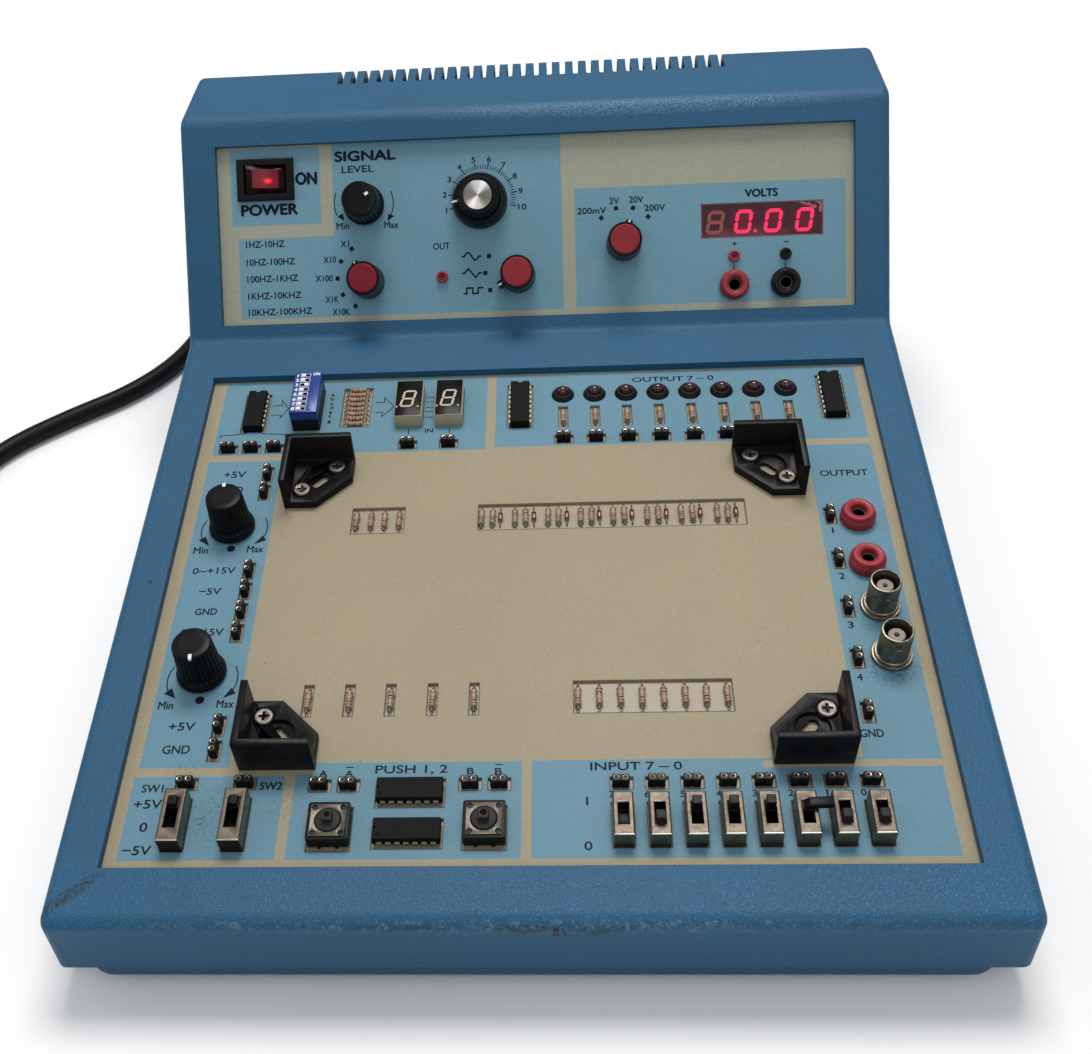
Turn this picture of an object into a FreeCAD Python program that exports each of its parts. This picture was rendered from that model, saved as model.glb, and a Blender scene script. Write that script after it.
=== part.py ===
"""Digital logic trainer: a sloping-front bench case with a low control deck and a raised
instrument console, built from its separate pieces.  Millimetres, +X right, +Y back, +Z up,
Z = 0 at the bottom of the rubber feet, origin at the centre of the footprint.

Three working frames are used:
  D (deck)     u right, v back along the deck, n out of the deck; n = 0 is the printed panel.
  C (console)  u right, s up the console face, h out of it; h = 0 is the case surface.
  W (world)    the row frame.
"""
import FreeCAD, Part
import math
import os

os.makedirs("parts", exist_ok=True)

# ---------------------------------------------------------------- driving dimensions
ALPHA = 6.0            # slope of the deck, degrees
CONSOLE = 46.35        # console face against the deck, degrees
Y0 = -150.39           # world y of the deck frame's origin
Z0 = 31.10             # world z of the deck frame's origin
HALF_W = 133.8         # half width of the case
WALL = 3.0             # moulded wall
DECK_LEN = 203.4       # visible deck panel, front to back
DECK_HALF = 120.3      # visible deck panel, half width
Z_FEET = 4.5           # height of the rubber feet
Z_PART = 10.6          # height of the joint between the two shells
Y_BACK = 167.6         # back wall, outside
Y_FRONT = -167.6       # front wall, outside
PANEL_T = 0.8          # panel sheet
PCB_TOP = -1.0         # deck frame height of the main board's upper face
PCB_T = 1.6
CON_PANEL = -3.0       # console frame height of the console panel's face
CON_PCB = -15.4        # console frame height of the console board's face
CORD_D = 7.8
CORD_R = CORD_D / 2.0

V = FreeCAD.Vector
X, Y, Z = V(1, 0, 0), V(0, 1, 0), V(0, 0, 1)
D = FreeCAD.Placement(V(0, Y0, Z0), FreeCAD.Rotation(X, ALPHA))
C = D.multiply(FreeCAD.Placement(V(0, 224.5, 3.0), FreeCAD.Rotation(X, CONSOLE)))
W = FreeCAD.Placement()


# ---------------------------------------------------------------- helpers
def at(shape, frame):
    s = shape.copy()
    s.Placement = frame.multiply(s.Placement)
    return s


def box(x0, x1, y0, y1, z0, z1):
    return Part.makeBox(x1 - x0, y1 - y0, z1 - z0, V(x0, y0, z0))


def cbox(cx, cy, w, l, z0, z1):
    return box(cx - w / 2.0, cx + w / 2.0, cy - l / 2.0, cy + l / 2.0, z0, z1)


def cyl(cx, cy, r, z0, z1):
    return Part.makeCylinder(r, z1 - z0, V(cx, cy, z0), Z)


def cone(cx, cy, r0, r1, z0, z1):
    return Part.makeCone(r0, r1, z1 - z0, V(cx, cy, z0), Z)


def rod(p, q, r):
    d = q.sub(p)
    return Part.makeCylinder(r, d.Length, p, d)


def poly_prism(pts, axis_from, axis_len, kind):
    """Closed polygon extruded; kind 'yz' takes (y, z) points and runs along x, 'xy' takes
    (x, y) points and runs along z."""
    if kind == "yz":
        vs = [V(axis_from, a, b) for a, b in pts]
        d = V(axis_len, 0, 0)
    else:
        vs = [V(a, b, axis_from) for a, b in pts]
        d = V(0, 0, axis_len)
    return Part.Face(Part.makePolygon(vs + [vs[0]])).extrude(d)


def offset_poly(pts, t):
    """Polygon moved inwards by t; points run anticlockwise."""
    out = []
    n = len(pts)
    for i in range(n):
        p0, p1, p2 = pts[i - 1], pts[i], pts[(i + 1) % n]
        d1 = (p1[0] - p0[0], p1[1] - p0[1])
        d2 = (p2[0] - p1[0], p2[1] - p1[1])
        l1, l2 = math.hypot(*d1), math.hypot(*d2)
        n1 = (-d1[1] / l1, d1[0] / l1)
        n2 = (-d2[1] / l2, d2[0] / l2)
        a = (p1[0] + n1[0] * t, p1[1] + n1[1] * t)
        b = (p1[0] + n2[0] * t, p1[1] + n2[1] * t)
        den = d1[0] * d2[1] - d1[1] * d2[0]
        k = ((b[0] - a[0]) * d2[1] - (b[1] - a[1]) * d2[0]) / den
        out.append((a[0] + d1[0] * k, a[1] + d1[1] * k))
    return out


def fuse(items):
    s = items[0]
    if len(items) > 1:
        s = s.multiFuse(items[1:])
    return s


def cut(a, items):
    return a.cut(Part.makeCompound(items)) if items else a


def round_edges(shape, r, pick):
    es = [e for e in shape.Edges if pick(e)]
    return shape.makeFillet(r, es) if es else shape


NODES = {}


def node(name, solids, frame=W):
    NODES.setdefault(name, []).extend(at(s, frame) for s in solids)


def along(e, d, tol=1e-3):
    if len(e.Vertexes) != 2:
        return False
    t = e.Vertexes[1].Point.sub(e.Vertexes[0].Point)
    if t.Length < 1e-6:
        return False
    t.normalize()
    return abs(abs(t.dot(d)) - 1.0) < tol


def mids(e):
    return e.Vertexes[0].Point.add(e.Vertexes[1].Point).multiply(0.5)


# ---------------------------------------------------------------- layout, deck frame (u, v)
PITCH8 = 10.03
DATA_U = [25.6 + PITCH8 * i for i in range(8)]
LED_U = [10.7 + 11.48 * i for i in range(8)]
LED_V = 191.3

SOCK_H = [(-110.0, 167.6), (-101.6, 167.6), (-93.2, 167.6), (-45.0, 167.7), (-30.4, 167.7),
          (-100.9, 28.5), (-83.6, 28.5), (-61.5, 27.6), (-53.1, 27.6), (-17.8, 27.7), (-9.4, 27.7)]
SOCK_H += [(u - 0.1, 27.6) for u in DATA_U] + [(u, 168.5) for u in LED_U]
SOCK_V = [(-93.7, 154.7), (-93.8, 146.0), (-94.1, 110.1), (-94.1, 101.6), (-94.2, 92.8), (-94.3, 84.2),
          (-94.4, 48.8), (-94.4, 40.1),
          (98.2, 129.0), (98.2, 109.7), (98.2, 90.0), (98.2, 70.4), (98.2, 50.9)]

# (centre u, centre v, pins per side, True where the pins run along v)
ICS = [(-102.3, 186.1, 7, True), (-4.9, 185.8, 8, True), (106.9, 186.5, 8, True),
       (-34.8, 25.0, 7, False), (-34.85, 11.9, 7, False)]

SW_BIG = [(-101.4, 14.9), (-84.0, 14.9)]
SW_TOP = 6.5
TACT = [(-57.0, 13.8), (-13.1, 14.0)]
DIP_U, DIP_V = -82.5, 187.0
SEG7 = [(-45.1, 186.4), (-30.5, 186.4)]
KNOBS_D = [(-102.4, 129.2), (-102.7, 68.0)]
BANANA_D = [(106.8, 126.9), (106.9, 107.4)]
BNC = [(108.2, 90.0), (108.5, 71.0)]

RES_V = [(u, 131.1) for u in (-60.0, -55.0, -50.3, -45.3)]
GROUPS = [-17.3, -6.0, 5.1, 16.0, 26.9, 38.3, 49.6, 61.4]
for g in GROUPS:
    RES_V += [(g, 131.2), (g + 3.6, 131.2)]
DIODES = [(g + 6.3, 131.6) for g in GROUPS]
RES_V += [(u, 57.3) for u in (13.9, 20.1, 26.4, 33.0, 39.5, 45.7, 52.0, 58.2)]
RES_V += [(u, 57.2) for u in (-68.3, -55.6, -43.0, -30.2, -17.5)]
RES_V += [(u, 179.8) for u in LED_U]
RES_H = [(-65.0, 178.9 + 2.54 * i) for i in range(8)]

# bracket footprints: (u0, u1, v0, v1, outer side in u, outer side in v)
BRACKETS = [(-85.6, -62.8, 137.6, 160.4, -1, 1), (68.8, 91.6, 138.1, 160.9, 1, 1),
            (-86.0, -63.2, 32.7, 55.5, -1, -1), (69.1, 91.9, 32.9, 55.7, 1, -1)]
BR_H = 14.0
BR_T = 2.2
BR_FLOOR = 3.0

# ---------------------------------------------------------------- layout, console frame (u, s)
ROCKER = (-101.5, 60.9)
POTS_C = [(-63.7, 50.1), (-19.3, 49.8)]          # level, frequency dial
ROTARY_C = [(-63.3, 21.0), (-5.4, 21.3), (34.9, 31.8)]
TIP_C = [(-34.5, 21.8), (76.2, 25.7), (95.4, 25.9)]
BANANA_C = [(76.1, 15.0), (95.2, 15.2)]
WIN = (64.0, 109.5, 32.6, 45.5)


# ================================================================ case shells
def dw(v, n):
    a = math.radians(ALPHA)
    return (v * math.cos(a) - n * math.sin(a) + Y0, v * math.sin(a) + n * math.cos(a) + Z0)


pA = (Y_FRONT, dw(-17.0, 3.0)[1])
pB = dw(224.5, 3.0)
pC = dw(282.5, 63.8)
pD = (Y_BACK, dw(324.4, 59.3)[1])
outer = [(Y_FRONT, Z_PART), (Y_BACK, Z_PART), pD, pC, pB, pA]
body = poly_prism(outer, -HALF_W, 2 * HALF_W, "yz")


def near_yz(e, p):
    m = mids(e)
    return along(e, X) and math.hypot(m.y - p[0], m.z - p[1]) < 0.5


body = round_edges(body, 7.0, lambda e: near_yz(e, pC) or near_yz(e, pD))
body = round_edges(body, 4.0, lambda e: near_yz(e, pA) or near_yz(e, pB))
side = [e for e in body.Edges if len(e.Vertexes) == 2 and all(abs(abs(v.Point.x) - HALF_W) < 0.05 for v in e.Vertexes)
        and mids(e).z > Z_PART + 0.5]
try:
    body = body.makeFillet(3.0, side)
except Exception as err:
    print("side fillet left off:", err)
inner = offset_poly([(Y_FRONT, Z_PART - WALL - 1.0), (Y_BACK, Z_PART - WALL - 1.0), pD, pC, pB, pA], WALL)
cavity = poly_prism(inner, -HALF_W + WALL, 2 * (HALF_W - WALL), "yz")
shell = body.cut(cavity)

cuts = [at(box(-DECK_HALF, DECK_HALF, 0.0, DECK_LEN, -2.0, 8.0), D),
        at(box(-120.2, 120.9, 5.8, 73.5, -8.0, 6.0), C)]
# cooling slots over the top back edge
SLOTS = 30
for i in range(SLOTS):
    x = -74.6 + 149.5 / (SLOTS - 1) * i
    cuts.append(box(x - 1.05, x + 1.05, Y_BACK - 16.2, Y_BACK + 2.0, pD[1] - 25.0, pD[1] + 6.0))
    cuts.append(cyl(x, Y_BACK - 16.2, 1.05, pD[1] - 8.0, pD[1] + 6.0))
CORD_X, CORD_Z = -66.0, 26.0
cuts.append(Part.makeCylinder(6.1, 10.0, V(CORD_X, Y_BACK - 6.0, CORD_Z), Y))
shell = cut(shell, cuts)
# screw posts down to the lower shell
POSTS = [(-112.0, Y_FRONT + 9.0), (112.0, Y_FRONT + 9.0), (-122.0, 145.0), (122.0, 145.0)]
posts = []
for px, py in POSTS:
    top = 110.0 if py > 0 else pA[1] - 1.0
    p = cyl(px, py, 4.2, Z_PART, top)
    posts.append(p)
posts = [p.common(poly_prism(outer, -HALF_W + 1, 2 * HALF_W - 2, "yz")) for p in posts]
shell = shell.multiFuse(posts)
shell = cut(shell, [cyl(px, py, 1.6, Z_PART - 1, Z_PART + 14.0) for px, py in POSTS])
node("upper_case", [shell])

# lower shell: a tray set in from the upper shell, with a ledge that closes the joint
fx, fy0, fy1 = 126.5, Y_FRONT + 0.3, Y_BACK - 3.4
tray = box(-fx, fx, fy0, fy1, Z_FEET, Z_PART)
tray = round_edges(tray, 8.0, lambda e: along(e, Z))
try:
    tray = tray.makeFillet(2.4, [e for e in tray.Edges if all(abs(v.Point.z - Z_FEET) < 1e-3 for v in e.Vertexes)])
except Exception as err:
    print("tray fillet left off:", err)
ledge = box(-HALF_W + WALL + 0.25, HALF_W - WALL - 0.25, Y_FRONT + WALL + 0.25, Y_BACK - WALL - 0.25, Z_PART - 1.2, Z_PART + 3.0)
tray = tray.multiFuse([ledge.common(box(-200, 200, -200, 200, Z_PART, Z_PART + 3.0)),
                       box(-fx, fx, fy0 + 9, fy1 - 9, Z_PART - 1.2, Z_PART + 3.0)])
tray = tray.cut(box(-fx + 2.5, fx - 2.5, fy0 + 2.5 + 1.5, fy1 - 2.5, Z_FEET + 2.5, Z_PART + 10.0))
boss = [cyl(px, py, 5.2, Z_FEET + 0.6, Z_PART) for px, py in POSTS]
boss = [b.common(box(-fx, fx, fy0, fy1, Z_FEET, Z_PART)) for b in boss]
rests = [at(cyl(u, v, 3.2, -40.0, PCB_TOP - PCB_T), D).common(box(-fx + 3, fx - 3, fy0 + 4, fy1 - 4, Z_FEET + 1.0, 80.0))
         for u, v in ((-112.0, 12.0), (78.0, 118.0), (-112.0, 150.0), (92.0, 196.5), (0.0, 80.0), (93.0, 12.0))]
tray = tray.multiFuse(boss + rests)
tray = cut(tray, [cyl(px, py, 4.6, Z_PART, Z_PART + 12) for px, py in POSTS]
           + [cyl(px, py, 1.9, Z_FEET - 1, Z_PART + 5) for px, py in POSTS]
           + [cyl(px, py, 3.6, Z_FEET - 1, Z_FEET + 2.6) for px, py in POSTS])
node("lower_case", [tray])

# rubber feet, each pressed into the tray's underside
FEET = [(-104.0, -140.0), (104.0, -140.0), (-104.0, 132.0), (104.0, 132.0)]
node("rubber_feet", [round_edges(cyl(x, y, 8.0, 0.0, Z_FEET), 1.0, lambda e: abs(e.BoundBox.ZMax) < 0.01)
                     for x, y in FEET])


# case screws: pan head in the counterbore, shank into the post
def screw(x, y, z_head, r_head, h_head, r_sh, l_sh, up=True):
    k = 1 if up else -1
    hd = Part.makeCylinder(r_head, h_head, V(x, y, z_head), V(0, 0, k))
    sh = Part.makeCylinder(r_sh, l_sh, V(x, y, z_head + k * (h_head - 0.01)), V(0, 0, k))
    s = hd.fuse(sh)
    a = Part.makeBox(r_head * 1.3, r_head * 0.32, 0.9, V(x - r_head * 0.65, y - r_head * 0.16, z_head - 0.0 if up else z_head - 0.9))
    b = Part.makeBox(r_head * 0.32, r_head * 1.3, 0.9, V(x - r_head * 0.16, y - r_head * 0.65, z_head - 0.0 if up else z_head - 0.9))
    return s.cut(a.fuse(b)).removeSplitter()


node("case_screws", [screw(x, y, Z_FEET + 0.6, 3.3, 2.0, 1.55, 14.0) for x, y in POSTS])

# ================================================================ deck panel and its board
wins = []


def win(u, v, w, l):
    wins.append(cbox(u, v, w, l, -PANEL_T - 1.0, 1.0))


for u, v in SOCK_H:
    win(u + 0.15, v - 0.2, 6.5, 4.0)
for u, v in SOCK_V:
    win(u + 0.1, v - 0.5, 3.7, 7.2)
for u, v, n, vert in ICS:
    L = 2.54 * n + 2.2
    win(u, v, 9.2, L) if vert else win(u, v - 0.3, L, 9.4)
for u, v in SW_BIG:
    win(u, v, 6.6, 17.0)
for u in DATA_U:
    win(u, 14.0, 6.3, 14.3)
for u, v in TACT:
    win(u, v - 0.6, 12.4, 14.0)
win(DIP_U, DIP_V, 10.1, 21.6)
for u, v in SEG7:
    win(u, v, 10.2, 19.2)
win(-65.0, 187.8, 10.6, 20.6)
win(-52.65, 131.1, 17.9, 11.6)
win(26.2, 131.5, 89.4, 11.5)
win(36.2, 57.4, 47.4, 11.6)
for u in (-68.3, -55.6, -43.0, -30.2, -17.5):
    win(u, 57.2, 2.9, 11.6)
for u in LED_U:
    win(u, 179.8, 3.2, 10.4)
for u in LED_U:
    wins.append(cyl(u, LED_V, 2.75, -3.0, 1.0))
for u, v in KNOBS_D:
    wins.append(cyl(u, v, 3.6, -3.0, 1.0))
for u, v in BANANA_D:
    wins.append(cyl(u, v, 4.05, -3.0, 1.0))
for u, v in BNC:
    wins.append(cyl(u, v, 4.75, -3.0, 1.0))


BSCREWS = []
for b in BRACKETS:
    cu, cv = (b[0] + b[1]) / 2.0, (b[2] + b[3]) / 2.0
    # both screws lie on the line from (outer u, inner v) to (inner u, outer v)
    BSCREWS += [(cu + b[4] * 5.6, cv - b[5] * 5.4), (cu - b[4] * 5.6, cv + b[5] * 5.4)]
for u, v in BSCREWS:
    wins.append(cyl(u, v, 1.75, -3.0, 1.0))

deck_panel = box(-DECK_HALF - 4.0, DECK_HALF + 4.0, -3.0, DECK_LEN + 4.5, -PANEL_T, -0.02)
deck_panel = cut(deck_panel, wins)
node("deck_panel", [deck_panel], D)

pcb = box(-119.0, 119.0, 1.0, 202.0, PCB_TOP - PCB_T, PCB_TOP)
pcb = cut(pcb, [box(100.4, 125.0, 60.0, 137.0, -10, 0)]
          + [cyl(u, v, 3.6, -10, 0) for u, v in KNOBS_D]
          + [cyl(u, v, 1.75, -10, 0) for u, v in BSCREWS])
node("main_board", [pcb], D)

# ---------------------------------------------------------------- two-way turned-pin sockets


def socket(u, v, horiz):
    top, bot = 3.0, PCB_TOP
    w, l = (5.0, 2.4) if horiz else (2.4, 5.0)
    b = cbox(u, v, w, l, bot, top)
    pins, holes, outp = [], [], []
    for k in (-1.27, 1.27):
        pu, pv = (u + k, v) if horiz else (u, v + k)
        holes.append(cyl(pu, pv, 0.86, 0.2, top + 1))
        outp.append(cyl(pu, pv, 0.85, 0.22, top + 0.15).cut(cyl(pu, pv, 0.42, 0.8, top + 1)))
    # waist between the two poles
    for s in (-1, 1):
        if horiz:
            holes.append(box(u - 0.25, u + 0.25, v + s * 1.2 - 0.3, v + s * 1.2 + 0.3, bot - 1, top + 1))
        else:
            holes.append(box(u + s * 1.2 - 0.3, u + s * 1.2 + 0.3, v - 0.25, v + 0.25, bot - 1, top + 1))
    return [cut(b, holes)] + outp


for u, v in SOCK_H:
    node("socket_strips", socket(u, v, True), D)
for u, v in SOCK_V:
    node("socket_strips", socket(u, v, False), D)


# ---------------------------------------------------------------- integrated circuits
def dip_ic(u, v, n, vert):
    L = 2.54 * n + 1.5
    b = cbox(0, 0, 6.6, L, -0.4, 2.9)
    tp = []
    # a small draft on the long sides is left to the surface model; the notch is at +v
    tp.append(cyl(0, L / 2.0, 1.0, 2.0, 4.0))
    b = cut(b, tp)
    legs = []
    for i in range(n):
        y = (i - (n - 1) / 2.0) * 2.54
        for s in (-1, 1):
            sh = box(min(s * 3.2, s * 4.0), max(s * 3.2, s * 4.0), y - 0.75, y + 0.75, 0.95, 1.25)
            dn = box(min(s * 3.7, s * 4.0), max(s * 3.7, s * 4.0), y - 0.75, y + 0.75, -0.1, 1.25)
            tip = box(min(s * 3.7, s * 4.0), max(s * 3.7, s * 4.0), y - 0.25, y + 0.25, PCB_TOP, 0.0)
            legs.append(fuse([sh, dn, tip]))
    s = b.multiFuse(legs)
    if not vert:
        s.Placement = FreeCAD.Placement(V(u, v, 0), FreeCAD.Rotation(Z, 90))
    else:
        s.Placement = FreeCAD.Placement(V(u, v, 0), FreeCAD.Rotation())
    return s


node("integrated_circuits", [dip_ic(*i) for i in ICS], D)


# ---------------------------------------------------------------- axial resistors and diodes
def axial(u, v, r, length, total, horiz, rl=0.3):
    zc = PCB_TOP + r + 0.15
    if horiz:
        d = X
        ends = [V(u - total / 2.0, v, zc), V(u + total / 2.0, v, zc)]
        b0 = V(u - length / 2.0, v, zc)
    else:
        d = Y
        ends = [V(u, v - total / 2.0, zc), V(u, v + total / 2.0, zc)]
        b0 = V(u, v - length / 2.0, zc)
    b = Part.makeCylinder(r * 0.88, length, b0, d)
    caps = []
    for k in (0.0, length - 1.5):
        caps.append(Part.makeCylinder(r, 1.5, b0.add(V(d.x * k, d.y * k, 0)), d))
    lead = Part.makeCylinder(rl, total, ends[0], d)
    drops = [Part.makeCylinder(rl, zc - PCB_TOP, V(e.x, e.y, PCB_TOP), Z) for e in ends]
    return fuse([b, lead] + caps + drops)


node("resistors", [axial(u, v, 1.1, 6.0, 9.4, False) for u, v in RES_V], D)
node("resistors", [axial(u, v, 1.1, 6.0, 8.8, True) for u, v in RES_H], D)
node("diodes", [axial(u, v, 0.8, 3.4, 8.6, False, 0.25) for u, v in DIODES], D)

# ---------------------------------------------------------------- slide switches
SW3_SLOT = (3.7, 10.0)
SW2_SLOT = (3.2, 7.3)


def slide_switch(u, v, w, l, top, slot, off):
    outerb = cbox(u, v, w, l, -0.9, top)
    e = [x for x in outerb.Edges if all(abs(p.Point.z - top) < 1e-3 for p in x.Vertexes)]
    outerb = outerb.makeFillet(0.5, e)
    frame = outerb.cut(cbox(u, v, w - 0.9, l - 0.9, -2.0, top - 0.45))
    frame = frame.cut(cbox(u, v + off, slot[0], slot[1], top - 2, top + 1))
    base = cbox(u, v, w - 1.0, l - 1.0, PCB_TOP, 1.6)
    rim = cbox(u, v, w - 1.0, l - 1.0, 1.6, top - 0.5).cut(cbox(u, v + off, slot[0], slot[1], 1.0, top))
    base = base.fuse(rim)
    return [frame, base]


for u, v in SW_BIG:
    node("slide_switch_bodies", slide_switch(u, v, 6.4, 16.8, SW_TOP, SW3_SLOT, 0.6), D)
for u in DATA_U:
    node("slide_switch_bodies", slide_switch(u, 14.1, 5.8, 13.5, SW_TOP, SW2_SLOT, 0.0), D)


def lever(u, v, w, l, height, foot_w, tip=True):
    z0 = SW_TOP - 4.6
    s = cbox(u, v, foot_w, l, z0, SW_TOP - 0.1)
    if tip:
        k = cbox(u, v, w, l - 0.5, SW_TOP - 0.2, SW_TOP + height)
        k = round_edges(k, 0.3, lambda e: all(abs(p.Point.z - SW_TOP - height) < 1e-3 for p in e.Vertexes))
        s = s.fuse(k)
    return s


LEV3 = 3.6
LEV2 = 3.3
TRAVEL3 = SW3_SLOT[1] - LEV3 - 0.2
TRAVEL2 = SW2_SLOT[1] - LEV2 - 0.2
for i, (u, v) in enumerate(SW_BIG):
    yv = v + 0.6 + SW3_SLOT[1] / 2.0 - 0.1 - LEV3 / 2.0
    node("selector_lever_%s" % "ab"[i], [lever(u, yv, 2.6, LEV3, 1.5, 3.5)], D)
POS = [0, 0, 1, 1, 1, 1, 0, 0]                # 1 = pushed towards the back
for i, u in enumerate(DATA_U):
    c0 = 14.1
    yv = c0 + (1 if POS[i] else -1) * (SW2_SLOT[1] / 2.0 - 0.1 - LEV2 / 2.0)
    if i == 0:
        lv = lever(u, yv, 2.6, LEV2, 0.3, 3.0, False)
    elif i == 5:
        lv = lever(u, yv, 2.4, LEV2, 0.0, 3.0, False)
        # this lever is bent over to the right and lies across the gap to the next switch
        bar = Part.Face(Part.makePolygon([V(a, yv - 1.4, b) for a, b in (
            (u - 0.9, SW_TOP - 1.0), (u + 1.3, SW_TOP - 1.0), (u + 1.3, SW_TOP + 0.15),
            (DATA_U[6] - 3.25, SW_TOP + 0.5), (DATA_U[6] - 3.25, SW_TOP + 2.3), (u + 0.4, SW_TOP + 1.9),
            (u - 0.9, SW_TOP + 0.6), (u - 0.9, SW_TOP - 1.0))])).extrude(V(0, 2.8, 0))
        lv = lv.fuse(bar)
    else:
        lv = lever(u, yv, 2.6, LEV2, 3.6 if POS[i] else 2.6, 3.0)
    node("data_lever_%d" % i, [lv], D)

# ---------------------------------------------------------------- tactile push switches
for i, (u, v) in enumerate(TACT):
    base = cbox(u, v, 12.0, 12.0, -0.4, 3.9)
    base = round_edges(base, 0.8, lambda e: along(e, Z))
    legs = [box(u + a - 0.5, u + a + 0.5, v + s * 6.0 - 0.25, v + s * 6.0 + 0.25, PCB_TOP, 0.4)
            for a in (-2.5, 2.5) for s in (-1, 1)]
    base = base.multiFuse(legs)
    base = base.cut(cyl(u, v, 3.9, 2.1, 5.9))
    cover = cbox(u, v, 10.2, 10.2, 3.9, 4.25)
    cover = round_edges(cover, 0.7, lambda e: along(e, Z))
    cover = cover.cut(cyl(u, v, 3.75, 2.9, 5.9))
    cover = cut(cover, [cyl(u + a * 4.05, v + b * 4.05, 0.75, 2.9, 5.9) for a in (-1, 1) for b in (-1, 1)])
    node("push_switch_bodies", [base, cover], D)
    pl = cyl(u, v, 3.55, 2.5, 4.65)
    st = cbox(u, v + 0.2, 3.0, 3.0, 4.6, 6.8)
    pl = pl.fuse(st).cut(cyl(u, v + 0.4, 0.85, 5.9, 7.9))
    node("push_button_%s" % "ab"[i], [pl], D)

# ---------------------------------------------------------------- eight-way switch in its socket
sock = cbox(DIP_U, DIP_V, 9.8, 21.3, PCB_TOP, 5.2)
sock = sock.cut(cbox(DIP_U, DIP_V, 5.2, 18.0, 1.0, 6.0))
node("code_switch_socket", [sock], D)
DIP_TOP = 9.2
blue = cbox(DIP_U, DIP_V, 9.9, 21.4, 5.2, DIP_TOP)
slots = []
DIP_POS = [0, 0, 1, 0, 0, 0, 0, 0]
DIP_TRAVEL = 1.5
for i in range(8):
    y = DIP_V + (3.5 - i) * 2.54
    slots.append(box(DIP_U - 2.35, DIP_U + 0.75, y - 0.72, y + 0.72, DIP_TOP - 2.0, DIP_TOP + 1))
blue = cut(blue, slots)
node("code_switch_body", [blue], D)
for i in range(8):
    y = DIP_V + (3.5 - i) * 2.54
    x = DIP_U - 2.35 + 0.05 + 0.72 + (DIP_TRAVEL if DIP_POS[i] else 0.0)
    sl = cbox(x, y, 1.44, 1.3, DIP_TOP - 1.95, DIP_TOP + 0.45)
    node("code_slider_%d" % (i + 1), [sl], D)

# ---------------------------------------------------------------- seven-segment displays and lamps
for u, v in SEG7:
    b = cbox(u, v, 10.0, 19.0, PCB_TOP + 0.3, 4.7)
    f = cbox(u, v, 9.9, 18.9, 4.7, 5.2)
    node("seven_segment_displays", [b, f], D)
for u in LED_U:
    holder = Part.makeCone(4.15, 3.1, 1.7, V(u, LED_V, 0.0), Z).fuse(cyl(u, LED_V, 2.7, -0.9, 0.1))
    holder = holder.cut(cyl(u, LED_V, 2.25, -3.0, 4.0))
    dome = cyl(u, LED_V, 2.2, -0.9, 1.6).fuse(Part.makeSphere(2.2, V(u, LED_V, 1.6)))
    node("indicator_leds", [holder, dome], D)

# ---------------------------------------------------------------- corner brackets and their screws
for b in BRACKETS:
    u0, u1, v0, v1, su, sv = b
    c = 11.8
    iu = u0 if su > 0 else u1      # inner side in u
    ou = u1 if su > 0 else u0
    iv = v0 if sv > 0 else v1      # inner side in v
    ov = v1 if sv > 0 else v0
    pts = [(ou, ov), (iu, ov), (iu, iv + sv * c), (iu + su * c, iv), (ou, iv)]
    fl = poly_prism(pts, 0.0, BR_FLOOR, "xy")
    wu = box(min(ou, ou - su * BR_T), max(ou, ou - su * BR_T), v0, v1, 0.0, BR_H)
    wv = box(u0, u1, min(ov, ov - sv * BR_T), max(ov, ov - sv * BR_T), 0.0, BR_H)
    br = fuse([fl, wu, wv])
    cu, cv = (u0 + u1) / 2.0, (v0 + v1) / 2.0
    scr = [(cu + su * 5.6, cv - sv * 5.4), (cu - su * 5.6, cv + sv * 5.4)]
    holes = [cyl(x, y, 1.75, -1, 5) for x, y in scr] + [cyl(x, y, 3.3, 2.2, 5) for x, y in scr]
    # round recess in the floor with a slot through it, along the line of the two screws
    slot = Part.makeBox(3.4, 3.2, 6.0, V(-1.7, -1.6, -1.0)).fuse([cyl(-1.7, 0, 1.6, -1.0, 5.0), cyl(1.7, 0, 1.6, -1.0, 5.0)])
    slot.Placement = FreeCAD.Placement(V(cu, cv, 0), FreeCAD.Rotation(Z, -45 * su * sv))
    recess = cyl(cu + 0.7 * su, cv + 0.7 * sv, 5.2, 1.5, 5.0)
    br = cut(br, holes + [slot, recess])
    node("corner_brackets", [br], D)


def phillips(u, v, zt):
    s = Part.makeCylinder(3.1, 1.5, V(u, v, zt - 1.5), Z)
    s = round_edges(s, 0.7, lambda e: abs(e.BoundBox.ZMin - zt) < 1e-3)
    s = s.fuse(cyl(u, v, 1.5, PCB_TOP - PCB_T - 3.5, zt - 1.4))
    a = cbox(u, v, 3.2, 0.7, zt - 0.9, zt + 1)
    b = cbox(u, v, 0.7, 3.2, zt - 0.9, zt + 1)
    return s.cut(a.fuse(b))


for u, v in BSCREWS:
    node("bracket_screws", [phillips(u, v, 2.2 + 1.5)], D)


# ---------------------------------------------------------------- rotary controls
def knob_plain(cx, cy, zb, r_sk, r0, r1, top):
    """Fluted knob: short flared skirt, tapered body, blind bore for the shaft."""
    k = fuse([cone(cx, cy, r_sk, r0 + 0.4, zb, zb + 3.0), cone(cx, cy, r0, r1, zb + 2.5, top)])
    k = round_edges(k, 0.8, lambda e: abs(e.BoundBox.ZMin - top) < 1e-3 and abs(e.BoundBox.ZMax - top) < 1e-3)
    return k.cut(cyl(cx, cy, 3.02, zb - 1, top - 3.0))


def shaft(cx, cy, z0, z1):
    return cyl(cx, cy, 3.0, z0, z1)


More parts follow.
